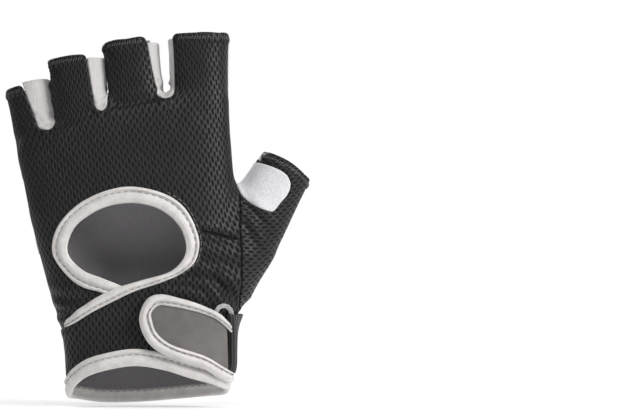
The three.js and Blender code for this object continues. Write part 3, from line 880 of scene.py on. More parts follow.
def unrolled(side, deep, a, b, power):
    """The length along the cloth from the middle of the back, to the right positive."""
    t, lengths = arc_table(power, 0.48 if power == HAND_ROUND else 1.0)
    u = np.abs(side / a) ** (power / 2)
    v = np.abs(deep / b) ** (power / 2)
    quarter = np.arctan2(u, v)
    length = np.interp(quarter, t, lengths)
    length = np.where(deep > 0, 2 * lengths[-1] - length, length)
    return np.sign(side) * length * a


def turned_grain(u, v, turn):
    """Grain coordinates turned by an angle."""
    c, s = np.cos(turn), np.sin(turn)
    return np.column_stack([u * c + v * s, v * c - u * s])


def hand_grain(glove, points, turn=0.0, palm=False):
    """Grain in millimetres: across the hand and along it, measured from the middle of one face."""
    x, z = points[:, 0], points[:, 2]
    x_axis, _, z_axis = glove.axes
    i = np.clip(((x - x_axis[0]) / glove.step).astype(int), 0, len(x_axis) - 1)
    k = np.clip(((z - z_axis[0]) / glove.step).astype(int), 0, len(z_axis) - 1)
    left, right, middle, half = glove.rows[:, i, k]
    centre = (left + right) / 2
    deep = points[:, 1] - middle - HAND_FALL * (x - centre)
    u = centre + unrolled(x - centre, -deep if palm else deep, (right - left) / 2, half, HAND_ROUND)
    which, angle, _ = finger_place(glove, points)
    if palm:
        angle = np.sign(angle) * (180 - np.abs(angle))
    on_finger = np.zeros(len(points))
    for n, finger in enumerate(FINGERS):
        root, end = np.array(finger[0]), np.array(finger[1])
        axis_x = root[0] + (end[0] - root[0]) * (z - root[2]) / (end[2] - root[2])
        here = axis_x + np.radians(angle) * finger[2]
        on_finger = np.where(which == n, here, on_finger)
    low = np.interp(x, WEB_X, WEB_Z)
    share = smoothstep(-14, 2, z - low)
    return turned_grain(u * (1 - share) + on_finger * share, z, turn)


def thumb_grain(glove, points, turn=0.0, palm=False):
    """Grain coordinates of the thumb: the holes of its mesh run across the picture."""
    s, angle, _, side, deep = thumb_place(glove, points)
    if palm:
        angle = np.arctan2(side, deep)
    share = smoothstep(-13, -5, side)
    wrapped = 15.5 * angle * share + (side - 0.4) * (1 - share)
    u = 0.574 * s + 0.819 * wrapped
    v = 0.819 * s - 0.574 * wrapped
    return turned_grain(v, u, turn)


class Areas:
    """Where each vertex of the glove surface lies: signed distances from the seams and outlines."""

    def __init__(self, glove):
        points = glove.verts
        flat = points[:, [0, 2]]
        self.glove, self.points, self.flat = glove, points, flat
        self.side = seam_distance(points)
        self.which, self.angle, self.left = finger_place(glove, points)
        _, _, self.thumb_left, side, _ = thumb_place(glove, points)
        self.thumb_left = self.thumb_left - 2.4 * np.clip((side - 1.5) / 12, -1.3, 1.3) ** 2 + 1.0
        self.back_slots = []
        self.palm_slots = []
        for i in range(3):
            self.back_slots.append(area_distance(flat, slot_outline(i, *BACK_SLOTS[i])))
            self.palm_slots.append(area_distance(flat, slot_outline(i, *PALM_SLOTS[i])))
        self.oval = area_distance(flat, smooth_line(OVAL, closed=True, spacing=1.5))
        self.band = area_distance(flat, BAND_AREA)
        self.flap_cut = area_distance(flat, FLAP_CUT)
        self.thumb = area_distance(flat, list(smooth_line(THUMB_SEAM[::-1], spacing=1.5)) + THUMB_SIDE)
        self.arch = flat[:, 1] - np.interp(flat[:, 0], *smooth_line(ARCH, spacing=1.0).T)
        self.hem = flat[:, 1] - np.interp(flat[:, 0], *smooth_line(HEM, spacing=1.0).T)
        self.wrist = area_distance(flat, list(smooth_line(SUEDE_LOW, spacing=1.5)) + WRIST_SIDE)
        keystone = (list(smooth_line(KEYSTONE_EDGE, spacing=1.5)) + [(52, 124), (76, 130)]
                    + OUTER_SEAM[::-1] + list(smooth_line(KEYSTONE_LOW, spacing=1.5))[::-1])
        self.keystone = area_distance(flat, keystone)
        self.outer = area_distance(flat, list(smooth_line(OUTER_SEAM, spacing=1.5)) + OUTER_SIDE)
        back, palm = (area_distance(flat, smooth_line(line, closed=True))
                      for line in (PATCH_BACK, PATCH_PALM))
        beyond = points[:, 1] - PATCH_TURN
        self.patch = np.minimum(np.maximum(back, beyond), np.maximum(palm, -beyond))


def slot_outline(i, left_low, left_top, right_low, right_top, low):
    """The space between two fingers in the front view, with a round bottom."""
    def edge(finger, part_low, part_top, z):
        root, end = np.array(finger[0])[[0, 2]], np.array(finger[1])[[0, 2]]
        axis = unit(end - root)
        up = np.clip((z - low - SLOT_RISE) / (end[1] - low - SLOT_RISE), 0, 1.4)
        part = part_low + (part_top - part_low) * up
        a = root + np.array([axis[1], -axis[0]]) * part * finger[2]
        b = end + np.array([axis[1], -axis[0]]) * part * finger[2]
        return a[0] + (b[0] - a[0]) * (z - a[1]) / (b[1] - a[1])
    heights = np.linspace(low + SLOT_RISE, 195, 9)
    left = [(edge(FINGERS[i], left_low, left_top, z), z) for z in heights]
    right = [(edge(FINGERS[i + 1], right_low, right_top, z), z) for z in heights]
    centre, half = (left[0][0] + right[0][0]) / 2, (right[0][0] - left[0][0]) / 2
    bottom = [(centre + half * math.cos(a), low + SLOT_RISE * (1 + math.sin(a)))
              for a in np.linspace(math.pi, 2 * math.pi, 13)[1:-1]]
    return left[::-1] + bottom + right


@functools.lru_cache(maxsize=None)
def areas_at(step):
    return Areas(glove_at(step))


def meet(*levels):
    return functools.reduce(np.maximum, levels)


def pad_height(flat):
    """The quilted pads of the palm: how far they rise, and the sewn channel round each."""
    height = np.zeros(len(flat))
    for outline in PADS:
        distance = area_distance(flat, smooth_line(outline, closed=True, spacing=1.0))
        part = np.clip(-distance / PAD_SLOPE, 0, 1)
        height += PAD_RISE * np.sqrt(1 - (1 - part) ** 2)
        height -= CHANNEL_DEPTH * np.exp(-(distance / 0.8) ** 2)
    return height


def band_lift(flat):
    """How far the band stands off where it lies over the flap."""
    distance = line_distance(flat, smooth_line(BAND_UPPER, spacing=1.5))
    x = flat[:, 0]
    return 1.5 * smoothstep(15, 2, distance) * smoothstep(2, -8, x) * smoothstep(-45, -31, x)


def lifted(points, normals, height):
    return points + normals * (relief(points, normals) + height)[:, None]


def strip_tris(count, size, closed):
    """The triangles of a tube of count rings with size points each."""
    i, k = np.meshgrid(np.arange(count if closed else count - 1), np.arange(size), indexing="ij")
    ni, nk = (i + 1) % count, (k + 1) % size
    quads = np.stack([i * size + k, ni * size + k, ni * size + nk, i * size + nk], axis=-1).reshape(-1, 4)
    return np.vstack([quads[:, [0, 1, 2]], quads[:, [0, 2, 3]]])


def facing_out(verts, tris):
    """The triangles of a closed solid, turned round if they face inwards."""
    a, b, c = (verts[tris[:, k]] for k in range(3))
    volume = np.einsum("ij,ij->i", a, np.cross(b, c)).sum()
    return tris[:, ::-1] if volume < 0 else tris


def ribbon(name, surface, count, profile, width, closed=False):
    """A closed strip with the given profile, swept along a surface.

    surface(part) gives points and normals at a part of the width from the free edge, for the whole length.
    The profile holds pairs of millimetres from the free edge and millimetres above the surface's middle.
    """
    profile = np.asarray(profile, float)
    parts, where = np.unique(np.round(np.clip(profile[:, 0], 0, None) / width, 3), return_inverse=True)
    where = where.ravel()
    layers = [surface(part) for part in parts]
    edge, _ = surface(0.0)
    inner, _ = surface(0.2)
    outward = unit(edge - inner)
    grid = np.empty((count, len(profile), 3))
    for k, (across, height) in enumerate(profile):
        points, normals = layers[where[k]]
        beyond = outward * max(-across, 0)
        grid[:, k] = points + normals * height + beyond
    along = run_lengths(edge)
    size = len(profile)
    tris = strip_tris(count, size, closed)
    verts = grid.reshape(-1, 3)
    uv = np.stack(np.meshgrid(along, run_lengths(profile), indexing="ij"), axis=-1).reshape(-1, 2)
    if not closed:
        extra = np.array([grid[0].mean(axis=0), grid[-1].mean(axis=0)])
        start = len(verts)
        verts = np.vstack([verts, extra])
        uv = np.vstack([uv, [[0, 0], [along[-1], 0]]])
        k = np.arange(size)
        last = (count - 1) * size
        tris = np.vstack([tris, np.column_stack([np.full(size, start), k, (k + 1) % size]),
                          np.column_stack([np.full(size, start + 1), last + (k + 1) % size, last + k])])
    return make_object(name, verts, facing_out(verts, tris), uv)


def bound_profile(width, cloth, thick, puff=0.0, groove=0.66):
    """The profile of a folded binding: rim, stitched groove, fold round the free edge, inner leg."""
    low, high = cloth / 2, cloth / 2 + thick
    sewn = width * groove
    points = [
        (width, low), (width + 0.05, low + 0.55 * thick), (width - 0.45, high + 0.05),
        (width - 1.2, high + 0.12 + puff), (sewn + 0.75, high - 0.02), (sewn, high - 0.5),
        (sewn - 0.75, high - 0.05), (width * 0.42, high + 0.08 + puff), (width * 0.2, high + 0.1 + puff),
        (0.25, high - 0.1), (-0.6, high * 0.62), (-0.95, 0), (-0.6, -high * 0.62),
        (0.25, -high + 0.05), (width * 0.35, -high), (width * 0.68, -high),
        (width * 0.76, -low - 0.3 * thick), (width * 0.66, -low), (width * 0.35, -low), (0.2, -low),
        (-0.1, 0), (0.2, low), (width * 0.4, low), (width * 0.7, low),
    ]
    return smooth_line(points, closed=True, spacing=0.33)[:-1]


def face_strip(pairs, face, height_at, beyond):
    """A strip between two drawn edges: the surface function for ribbon, and its count of points.

    beyond is how many points it runs on round the side of the hand, past its last pair.
    """
    spacing = 0.8
    flat = smooth_line([a + b for a, b in pairs], spacing=spacing)
    glove = glove_at(STEP)

    def surface(part):
        here = flat[:, :2] * (1 - part) + flat[:, 2:] * part
        points, normals = glove.on_face(here, face)
        for _ in range(beyond):
            ahead = points[-1] - points[-3]
            ahead -= normals[-1] * (ahead @ normals[-1])
            point = glove.project((points[-1] + ahead * (spacing / np.linalg.norm(ahead)))[None])
            points = np.vstack([points, point])
            normals = np.vstack([normals, glove.normal_at(point)])
        height = height_at(points[:, [0, 2]], np.linspace(0, 1, len(points)))
        return lifted(points, normals, height), normals
    return surface, len(flat) + beyond


def sewn_line(surface, part, height):
    """The points of a line of stitches along a strip, with their normals."""
    points, normals = surface(part)
    return points + normals * height, normals


def threads(name, runs, length=2.3, gap=0.9, radius=0.26, across=0.0, slant=0.0, rise=0.12):
    """Sewn threads along lines on the cloth. across turns each stitch to lie across its line."""
    sides, rings = 6, 5
    ring_at = np.linspace(-1, 1, rings)
    girth = radius * np.sqrt(np.clip(1 - np.abs(ring_at) ** 3, 0.05, 1))
    arch = rise + (radius + 0.1) * (1 - ring_at ** 4) - radius
    circle = np.linspace(0, 2 * math.pi, sides, endpoint=False)
    blocks, faces, start = [], [], 0
    rng = np.random.default_rng(11)
    for points, normals in runs:
        steps = run_lengths(points)
        count = int(steps[-1] // (gap if across else length + gap))
        if count < 1:
            continue
        at = (np.arange(count) + 0.5) * steps[-1] / count
        centre = line_at(points, steps, at)
        normal = unit(line_at(normals, steps, at))
        ahead = line_at(points, steps, at + 0.5) - line_at(points, steps, at - 0.5)
        ahead = unit(ahead - normal * np.sum(ahead * normal, axis=1)[:, None])
        side = np.cross(normal, ahead)
        if across:
            lean = slant + rng.normal(0, 0.08, count)
            turned = side * np.cos(lean)[:, None] + ahead * np.sin(lean)[:, None]
            side = np.cross(normal, turned)
            ahead = turned
        half = (across if across else length) / 2 * rng.uniform(0.92, 1.08, count)
        for r in range(rings):
            middle = centre + ahead * (half * ring_at[r])[:, None] + normal * arch[r]
            for c in circle:
                blocks.append(middle + side * (girth[r] * math.cos(c)) + normal * (girth[r] * math.sin(c)))
        size = sides * rings
        one = []
        for r in range(rings - 1):
            for c in range(sides):
                a, b = r * sides + c, r * sides + (c + 1) % sides
                one += [(a, b, b + sides), (a, b + sides, a + sides)]
        last = (rings - 1) * sides
        for c in range(1, sides - 1):
            one += [(0, c + 1, c), (last, last + c, last + c + 1)]
        one = np.array(one)
        layers = np.stack(blocks[-size:], axis=1).reshape(-1, 3)
        blocks = blocks[:-size] + [layers]
        faces.append((one[None] + (start + size * np.arange(count))[:, None, None]).reshape(-1, 3))
        start += size * count
    verts = np.vstack(blocks)
    return make_object(name, verts, facing_out(verts, np.vstack(faces)))


def kept(runs, keep):
    """The parts of lines whose points pass a test, without the shortest."""
    least = 4
    result = []
    for points, normals in runs:
        points = ripple_free(points)
        good = keep(points)
        start = None
        for i in range(len(points) + 1):
            if i < len(points) and good[i]:
                start = i if start is None else start
            elif start is not None:
                if i - start >= least:
                    result.append((points[start:i], normals[start:i]))
                start = None
    return result


def closed_rod(name, path, normals, radius):
    """A round rod along a path that ends where it begins."""
    sides = 10
    ahead = unit(np.roll(path, -1, axis=0) - np.roll(path, 1, axis=0))
    out = unit(normals - ahead * np.sum(normals * ahead, axis=1)[:, None])
    side = np.cross(ahead, out)
    circle = np.linspace(0, 2 * math.pi, sides, endpoint=False)
    grid = np.stack([path + radius * (side * math.cos(c) + out * math.sin(c)) for c in circle], axis=1)
    verts = grid.reshape(-1, 3)
    return make_object(name, verts, facing_out(verts, strip_tris(len(path), sides, closed=True)))


class Finish:
    """A material and short calls for building its nodes."""

    def __init__(self, name, roughness, sheen=0.0, specular=0.5):
        self.material = bpy.data.materials.new(name)
        self.material.use_nodes = True
        self.tree = self.material.node_tree
        self.shader = self.tree.nodes["Principled BSDF"]
        self.shader.inputs["Roughness"].default_value = roughness
        self.shader.inputs["Sheen Weight"].default_value = sheen
        self.shader.inputs["Sheen Roughness"].default_value = 0.45
        self.shader.inputs["Specular IOR Level"].default_value = specular

    def node(self, kind, **settings):
        node = self.tree.nodes.new(kind)
        for key, value in settings.items():
            setattr(node, key, value)
        return node

    def set(self, socket, value):
        if isinstance(value, bpy.types.NodeSocket):
            self.tree.links.new(value, socket)
        else:
            socket.default_value = value

    def math(self, operation, *values):
        node = self.node("ShaderNodeMath", operation=operation)
        for socket, value in zip(node.inputs, values):
            self.set(socket, value)
        return node.outputs[0]

    def ramp(self, value, low, high, to_low=0.0, to_high=1.0):
        node = self.node("ShaderNodeMapRange", interpolation_type="SMOOTHSTEP")
        for socket, number in zip(node.inputs, (value, low, high, to_low, to_high)):
            self.set(socket, number)
        return node.outputs[0]

    def grain(self):
        node = self.node("ShaderNodeUVMap", uv_map="Grain")
        parts = self.node("ShaderNodeSeparateXYZ")
        self.set(parts.inputs[0], node.outputs[0])
        return parts.outputs[0], parts.outputs[1]

    def noise(self, size, detail=2.0, stretch=(1, 1, 1)):
        """Noise with bumps about size millimetres wide, from 0 to 1."""
        coordinates = self.node("ShaderNodeTexCoord").outputs["Object"]
        mapping = self.node("ShaderNodeMapping")
        mapping.inputs["Scale"].default_value = stretch
        self.set(mapping.inputs["Vector"], coordinates)
        node = self.node("ShaderNodeTexNoise")
        self.set(node.inputs["Vector"], mapping.outputs[0])
        node.inputs["Scale"].default_value = 1000.0 / size
        node.inputs["Detail"].default_value = detail
        return node.outputs[0]

    def wave(self, value, period):
        """A sine wave from -1 to 1."""
        return self.math("SINE", self.math("MULTIPLY", value, 2 * math.pi / period))

    def mixed(self, factor, low, high, **settings):
        """A mix of two colours, each given as three numbers or as a socket."""
        node = self.node("ShaderNodeMix", data_type="RGBA", **settings)
        for index, value in ((0, factor), (6, low), (7, high)):
            self.set(node.inputs[index], (*value, 1) if isinstance(value, tuple) else value)
        return node.outputs[2]

    def paint(self, colour):
        self.set(self.shader.inputs["Base Color"], colour)

    def paint_tones(self, value, span, base, shades):
        """Paints the base colour from its darker to its lighter shade as value crosses the span."""
        self.paint(self.mixed(self.ramp(value, *span), *(shade(base, factor) for factor in shades)))

    def bump(self, height, depth, strength=1.0):
        node = self.node("ShaderNodeBump")
        node.inputs["Strength"].default_value = strength
        node.inputs["Distance"].default_value = depth * MM
        self.set(node.inputs["Height"], height)
        self.set(self.shader.inputs["Normal"], node.outputs[0])


def shade(colour, factor):
    return tuple(min(c * factor, 1.0) for c in colour)


@functools.lru_cache(maxsize=None)
def mesh_finish(name="black_knit_mesh", tone=1.0, shine=0.38):
    """Black knitted mesh: staggered long holes between ribs, a little fuzzy."""
    style = bpy.context.scene.glove_style
    base = shade(tuple(style.mesh_colour), tone)
    f = Finish(name, 0.47, specular=shine)
    u, v = f.grain()
    u = f.math("MULTIPLY_ADD", f.math("SUBTRACT", f.noise(5.5), 0.5), 0.9, u)
    v = f.math("MULTIPLY_ADD", f.math("SUBTRACT", f.noise(6.5), 0.5), 1.2, v)
    holes = []
    for shift in (0.0, 0.5):
        parts = []
        for value, pitch, half, power in ((u, style.hole_pitch, HOLE_ACROSS, 2.0),
                                          (v, HOLE_SPACING * style.hole_pitch, HOLE_ALONG, 2.6)):
            part = f.math("SUBTRACT", f.math("FRACT", f.math("MULTIPLY_ADD", value, 1 / pitch, shift)), 0.5)
            parts.append(f.math("POWER", f.math("ABSOLUTE", f.math("MULTIPLY", part, 1 / half)), power))
        holes.append(f.ramp(f.math("ADD", *parts), 0.3, 1.5, 1.0, 0.0))
    hole = f.math("MAXIMUM", *holes)
    fibre = f.noise(0.35, 3.0)
    cloth = f.mixed(f.ramp(fibre, 0.3, 0.75), shade(base, 0.62), shade(base, 1.7))
    patches = f.mixed(f.ramp(f.noise(11.0), 0.35, 0.7), (0.82, 0.82, 0.82), (1.12, 1.11, 1.11))
    # Painted shade: the holes are painted near black for the dark inside of the glove seen through them.
    f.paint(f.mixed(hole, f.mixed(1.0, cloth, patches, blend_type="MULTIPLY"), shade(base, 0.12)))
    f.set(f.shader.inputs["Roughness"], f.ramp(hole, 0.0, 1.0, 0.46, 0.9))
    height = f.math("SUBTRACT", f.math("MULTIPLY", fibre, 0.3), hole)
    f.bump(height, 0.42, 0.9)
    return f.material


@functools.lru_cache(maxsize=None)
def suede_finish():
    """Pale microfibre suede: a soft nap with faint clouds."""
    base = tuple(bpy.context.scene.glove_style.suede_colour)
    f = Finish("pale_suede", 0.92, sheen=0.35, specular=0.2)
    fine = f.noise(0.8, 4.0)
    cloud = f.noise(7.0, 3.0)
    factor = f.math("ADD", f.math("MULTIPLY", fine, 0.75), f.math("MULTIPLY", cloud, 0.25))
    f.paint_tones(factor, (0.34, 0.66), base, (0.88, 1.06))
    f.bump(f.math("MULTIPLY_ADD", fine, 0.7, f.noise(1.6, 2.0)), 0.16, 0.7)
    return f.material


@functools.lru_cache(maxsize=None)
def edge_finish():
    """The pale folded binding: a fine slanting twill with some fuzz."""
    base = tuple(bpy.context.scene.glove_style.binding_colour)
    f = Finish("pale_binding", 0.85, sheen=0.4, specular=0.25)
    u, v = f.grain()
    twill = f.wave(f.math("ADD", u, f.math("MULTIPLY", v, 0.55)), 0.62)
    fine = f.noise(0.45, 3.0)
    cloud = f.noise(5.0, 2.0)
    factor = f.math("ADD", f.math("MULTIPLY", fine, 0.5), f.math("MULTIPLY", cloud, 0.5))
    f.paint_tones(factor, (0.33, 0.68), base, (0.84, 1.05))
    f.bump(f.math("MULTIPLY_ADD", twill, 0.35, fine), 0.12, 0.75)
    return f.material


@functools.lru_cache(maxsize=None)
def stretch_finish():
    """Pale grey stretch cloth between the fingers, finely ribbed."""
    base = tuple(bpy.context.scene.glove_style.stretch_colour)
    f = Finish("pale_stretch_cloth", 0.8, sheen=0.3, specular=0.3)
    u, _ = f.grain()
    rib = f.wave(u, 0.7)
    fine = f.noise(0.5, 3.0)
    f.paint_tones(f.math("MULTIPLY_ADD", rib, 0.1, fine), (0.3, 0.72), base, (0.84, 1.05))
    f.bump(f.math("MULTIPLY_ADD", rib, 0.4, fine), 0.14, 0.7)
    return f.material


@functools.lru_cache(maxsize=None)
def tab_finish():
    """Grey soft rubber of the tab, faintly grained."""
    base = tuple(bpy.context.scene.glove_style.tab_colour)
    f = Finish("grey_soft_rubber", 0.55, specular=0.4)
    fine = f.noise(0.5, 4.0)
    f.paint_tones(f.noise(6.0, 3.0), (0.3, 0.7), base, (0.9, 1.08))
    f.bump(fine, 0.07, 0.6)
    return f.material


@functools.lru_cache(maxsize=None)
def lining_finish():
    """Grey brushed lining, with painted shade that darkens it towards the wrist opening."""
    base = tuple(bpy.context.scene.glove_style.lining_colour)
    f = Finish("grey_lining", 0.95, sheen=0.3, specular=0.15)
    u, v = f.grain()
    weave = f.math("MULTIPLY", f.wave(u, 0.9), f.wave(v, 0.9))
    fine = f.noise(0.6, 3.0)
    factor = f.ramp(f.math("MULTIPLY_ADD", weave, 0.1, fine), 0.3, 0.7)
    # Painted shade: the lining is painted darker below the palm, towards the wrist opening.
    wrist = f.mixed(factor, shade(base, 0.36), shade(base, 0.46))
    palm = f.mixed(factor, shade(base, 0.9), shade(base, 1.12))
    f.paint(f.mixed(f.ramp(v, 26, 46), wrist, palm))
    f.bump(f.math("MULTIPLY_ADD", weave, 0.5, fine), 0.12, 0.6)
    return f.material


@functools.lru_cache(maxsize=None)
def webbing_finish():
    """Black woven webbing with cross ribs."""
    f = Finish("black_webbing", 0.7, sheen=0.15, specular=0.35)
    u, v = f.grain()
    weave = f.math("MULTIPLY_ADD", f.wave(v, 0.8), 0.35, f.wave(u, 1.1))
    f.paint(f.mixed(f.ramp(weave, -1.2, 1.2), (0.012, 0.012, 0.012), (0.05, 0.049, 0.049)))
    f.bump(weave, 0.16, 0.8)
    return f.material


@functools.lru_cache(maxsize=None)
def clear_finish():
    """Clear moulded plastic of the ring, a little milky."""
    f = Finish("clear_plastic", 0.12, specular=0.5)
    f.shader.inputs["Transmission Weight"].default_value = 0.72
    f.shader.inputs["IOR"].default_value = 1.49
    f.paint(f.mixed(f.noise(4.0), (0.78, 0.79, 0.8), (0.9, 0.91, 0.92)))
    f.bump(f.noise(2.0), 0.02, 0.3)
    return f.material


@functools.lru_cache(maxsize=None)
def thread_finish(name, colour):
    """Sewing thread with a slight twist."""
    f = Finish(name, 0.6, sheen=0.2, specular=0.35)
    twist = f.noise(0.3, 1.0, (1, 1, 2.4))
    f.paint_tones(twist, (0.3, 0.7), colour, (0.75, 1.1))
    f.bump(twist, 0.06, 0.6)
    return f.material


class GloveStyle(bpy.types.PropertyGroup):
    """The sizes and colours of the glove."""

    cloth: bpy.props.FloatProperty(
        name="Cloth", description="Thickness of the mesh and suede, in mm", default=1.3, min=0.6, max=1.8)
    binding: bpy.props.FloatProperty(
        name="Binding", description="Thickness of one layer of the binding, in mm", default=0.85, min=0.4,
        max=1.4)
    hole_pitch: bpy.props.FloatProperty(
        name="Hole pitch", description="Distance between holes of the mesh, in mm", default=3.1, min=1.0,
        max=5.0)
    stitch: bpy.props.FloatProperty(
        name="Stitch", description="Length of a stitch, in mm", default=2.3, min=1.0, max=5.0)
    mesh_colour: bpy.props.FloatVectorProperty(
        name="Mesh", description="Colour of the knitted mesh", subtype="COLOR", size=3, min=0, max=1,
        default=(0.01, 0.0095, 0.0098))
    suede_colour: bpy.props.FloatVectorProperty(
        name="Suede", description="Colour of the palm and the thumb patch", subtype="COLOR", size=3, min=0,
        max=1, default=(0.595, 0.595, 0.613))
    binding_colour: bpy.props.FloatVectorProperty(
        name="Binding", description="Colour of the bindings", subtype="COLOR", size=3, min=0, max=1,
        default=(0.65, 0.625, 0.61))
    stretch_colour: bpy.props.FloatVectorProperty(
        name="Stretch cloth", description="Colour between the fingers", subtype="COLOR", size=3, min=0,
        max=1, default=(0.535, 0.52, 0.512))
    tab_colour: bpy.props.FloatVectorProperty(
        name="Tab", description="Colour of the closure tab", subtype="COLOR", size=3, min=0, max=1,
        default=(0.122, 0.114, 0.109))
    lining_colour: bpy.props.FloatVectorProperty(
        name="Lining", description="Colour of the lining", subtype="COLOR", size=3, min=0, max=1,
        default=(0.4, 0.385, 0.4))


class GLOVE_OT_back(bpy.types.Operator):
    """Make the black mesh of the back and the wrist band"""
    bl_idname = "glove.back"
    bl_label = "Back and wrist band"

    def execute(self, context):
        a = areas_at(STEP)
        glove = a.glove
        style = context.scene.glove_style
        slots = functools.reduce(np.minimum, a.back_slots)
        hem = -a.left + 0.35 * noise(a.points, 5, 9)
        level = meet(smooth_max(hem, meet(a.side + 0.08, 0.12 - slots), 3.0), 1.0 - a.oval, 0.12 - a.flap_cut,
                     0.12 - a.thumb, 0.1 - a.patch, 1.2 - a.arch)
        back = Cloth(glove, level, thick=style.cloth, carried={"left": a.left})
        left = back.carried["left"]
        back.turn_hem(left, 4.4)
        obj = back.shell("back_mesh", hand_grain(glove, back.base, math.radians(7)))
        place(obj, mesh_finish(), "black_mesh", "back_panel")
        back.thick = back.thick + 0.1

        def clear(p):
            slots = [area_distance(p[:, [0, 2]], slot_outline(i, *BACK_SLOTS[i])) for i in range(3)]
            return (seam_distance(p) < -2.2) & (functools.reduce(np.minimum, slots) > 1.8)
        runs = kept(back.contour(left - 2.6), clear)
        obj = threads("hem_stitches_back", runs, across=2.1, gap=1.2, slant=0.5, radius=0.2, rise=0.05)
        place(obj, thread_finish(*GREY_THREAD), "black_mesh")

        level = meet(a.side + 0.08, a.band, 1.0 - a.oval, 0.12 - a.thumb, 1.2 - a.arch)
        band = Cloth(glove, level, lift=band_lift(a.flat), thick=style.cloth)
        band.roll_edge(0.15, 1.0, 0.7)
        fan = np.radians(16) * smoothstep(40, 68, band.base[:, 2]) * smoothstep(0, 30, band.base[:, 0])
        grain = hand_grain(glove, band.base) - (30, 62)
        turned = turned_grain(*grain.T, fan)
        finish = mesh_finish("black_knit_band", 0.95, 0.33)
        place(band.shell("wrist_band_mesh", turned), finish, "black_mesh", "wrist_band")
        return {"FINISHED"}


class GLOVE_OT_palm(bpy.types.Operator):
    """Make the suede palm with its quilted pads, and the mesh of the wrist below it"""
    bl_idname = "glove.palm"
    bl_label = "Palm and wrist"

    def execute(self, context):
        a = areas_at(STEP)
        glove = a.glove
        style = context.scene.glove_style
        slots = functools.reduce(np.minimum, a.palm_slots)
        level = meet(0.08 - a.side, 0.05 - slots, 0.1 - a.wrist, 0.12 - a.keystone, 0.12 - a.outer,
                     0.1 - a.patch, -a.left)
        palm = Cloth(glove, level, lift=PALM_LIFT, thick=style.cloth)
        flat = palm.base[:, [0, 2]]
        pads = pad_height(flat)
        palm.height = palm.height + pads + 0.18 * noise(palm.base, 2.6, 8) * (np.abs(pads) > 0.02)
        palm.roll_edge(0.35, 1.0, 0.7)
        palm.roll_edge(-0.3, 2.3, 0.45)
        obj = palm.shell("palm_suede", hand_grain(glove, palm.base, palm=True))
        place(obj, suede_finish(), "suede", "palm_panel")
        grey = thread_finish(*PALM_THREAD)
        runs = kept(palm.contour(palm.rim - 2.3), lambda p: p[:, 1] > 4)
        place(threads("palm_edge_stitches", runs, length=style.stitch, radius=0.18), grey, "suede")
        runs = []
        for outline in PADS:
            line = smooth_line(outline, closed=True, spacing=0.8)
            points, normals = glove.on_face(line, "palm")
            runs.append((lifted(points, normals, PALM_LIFT + pad_height(line) + style.cloth / 2), normals))
        place(threads("pad_stitches", runs, length=style.stitch, radius=0.24), grey, "suede")

        level = meet(0.08 - a.side, a.wrist - 2.0, 0.12 - a.keystone, 0.12 - a.outer, 1.2 - a.hem)
        wrist = Cloth(glove, level, thick=style.cloth)
        grain = hand_grain(glove, wrist.base, palm=True)
        place(wrist.shell("wrist_mesh", grain), mesh_finish(), "black_mesh", "wrist_panel")
        return {"FINISHED"}


class GLOVE_OT_thumb(bpy.types.Operator):
    """Make the three panels of the thumb"""
    bl_idname = "glove.thumb"
    bl_label = "Thumb"

    def execute(self, context):
        a = areas_at(STEP)
        glove = a.glove
        style = context.scene.glove_style
        level = meet(0.08 - a.side, a.keystone + 0.08, 0.12 - a.outer, -0.15 - a.patch, -a.thumb_left,
                     -a.left)
        front = Cloth(glove, level, thick=style.cloth)
        front.roll_edge(0.2, 1.0, 0.7)
        grain = thumb_grain(glove, front.base, math.radians(12), palm=True)
        place(front.shell("thumb_mesh_palm", grain), mesh_finish(), "black_mesh", "thumb_front")

        on_back = meet(a.side - 1, a.thumb + 0.08)
        on_palm = meet(-a.side - 1, a.outer - 0.25)
        level = meet(np.minimum(on_back, on_palm), -0.15 - a.patch, -a.thumb_left)
        back = Cloth(glove, level, thick=style.cloth, carried={"left": a.thumb_left})
        back.turn_hem(back.carried["left"], 4.6)
        grain = thumb_grain(glove, back.base, math.radians(6))
        place(back.shell("thumb_mesh_back", grain), mesh_finish(), "black_mesh", "thumb_back")

        level = meet(a.patch, -a.thumb_left - 0.5)
        patch = Cloth(glove, level, lift=0.25, thick=style.cloth)
        patch.roll_edge(0.15, 1.2, 0.8)
        obj = patch.shell("thumb_suede", thumb_grain(glove, patch.base))
        place(obj, suede_finish(), "suede", "thumb_patch")
        runs = kept(back.contour(back.carried["left"] - 2.8), lambda p: np.ones(len(p), bool))
        obj = threads("hem_stitches_thumb", runs, across=2.2, gap=1.2, slant=0.5, radius=0.2, rise=0.05)
        place(obj, thread_finish(*GREY_THREAD), "black_mesh")
        return {"FINISHED"}


class GLOVE_OT_between_fingers(bpy.types.Operator):
    """Make the pale strips between the fingers on the back and the mesh strips on the palm"""
    bl_idname = "glove.between_fingers"
    bl_label = "Strips between the fingers"

    def execute(self, context):
        a = areas_at(STEP)
        glove = a.glove
        for i in range(3):
            ends = (a.which == i + 1) * STRIP_ENDS[i][1] + (a.which == i) * STRIP_ENDS[i][0]
            level = meet(a.side + 0.06, a.back_slots[i], ends - a.left)
            strip = Cloth(glove, level, thick=1.1)
            crumple = smoothstep(9, 2, np.abs(strip.base[:, 2] - BACK_SLOTS[i][4] - 5))
            strip.height = strip.height + 0.85 * crumple * noise(strip.base, 2.4, 21 + i) - 0.15
            strip.roll_edge(0.15, 0.9, 0.6)
            obj = strip.shell(f"stretch_strip_{i + 1}", hand_grain(glove, strip.base))
            place(obj, stretch_finish(), "stretch_grey", f"fourchette_{i + 1}")
            ends = 0.4 + (ends + 0.3) * smoothstep(11, 4, a.side)
            level = meet(0.06 - a.side, a.palm_slots[i] - 1.6, ends - a.left, 0.12 - a.keystone)
            strip = Cloth(glove, level, thick=1.1)
            obj = strip.shell(f"mesh_strip_{i + 1}", hand_grain(glove, strip.base, palm=True))
            place(obj, mesh_finish(), "black_mesh", f"gusset_{i + 1}")
        return {"FINISHED"}


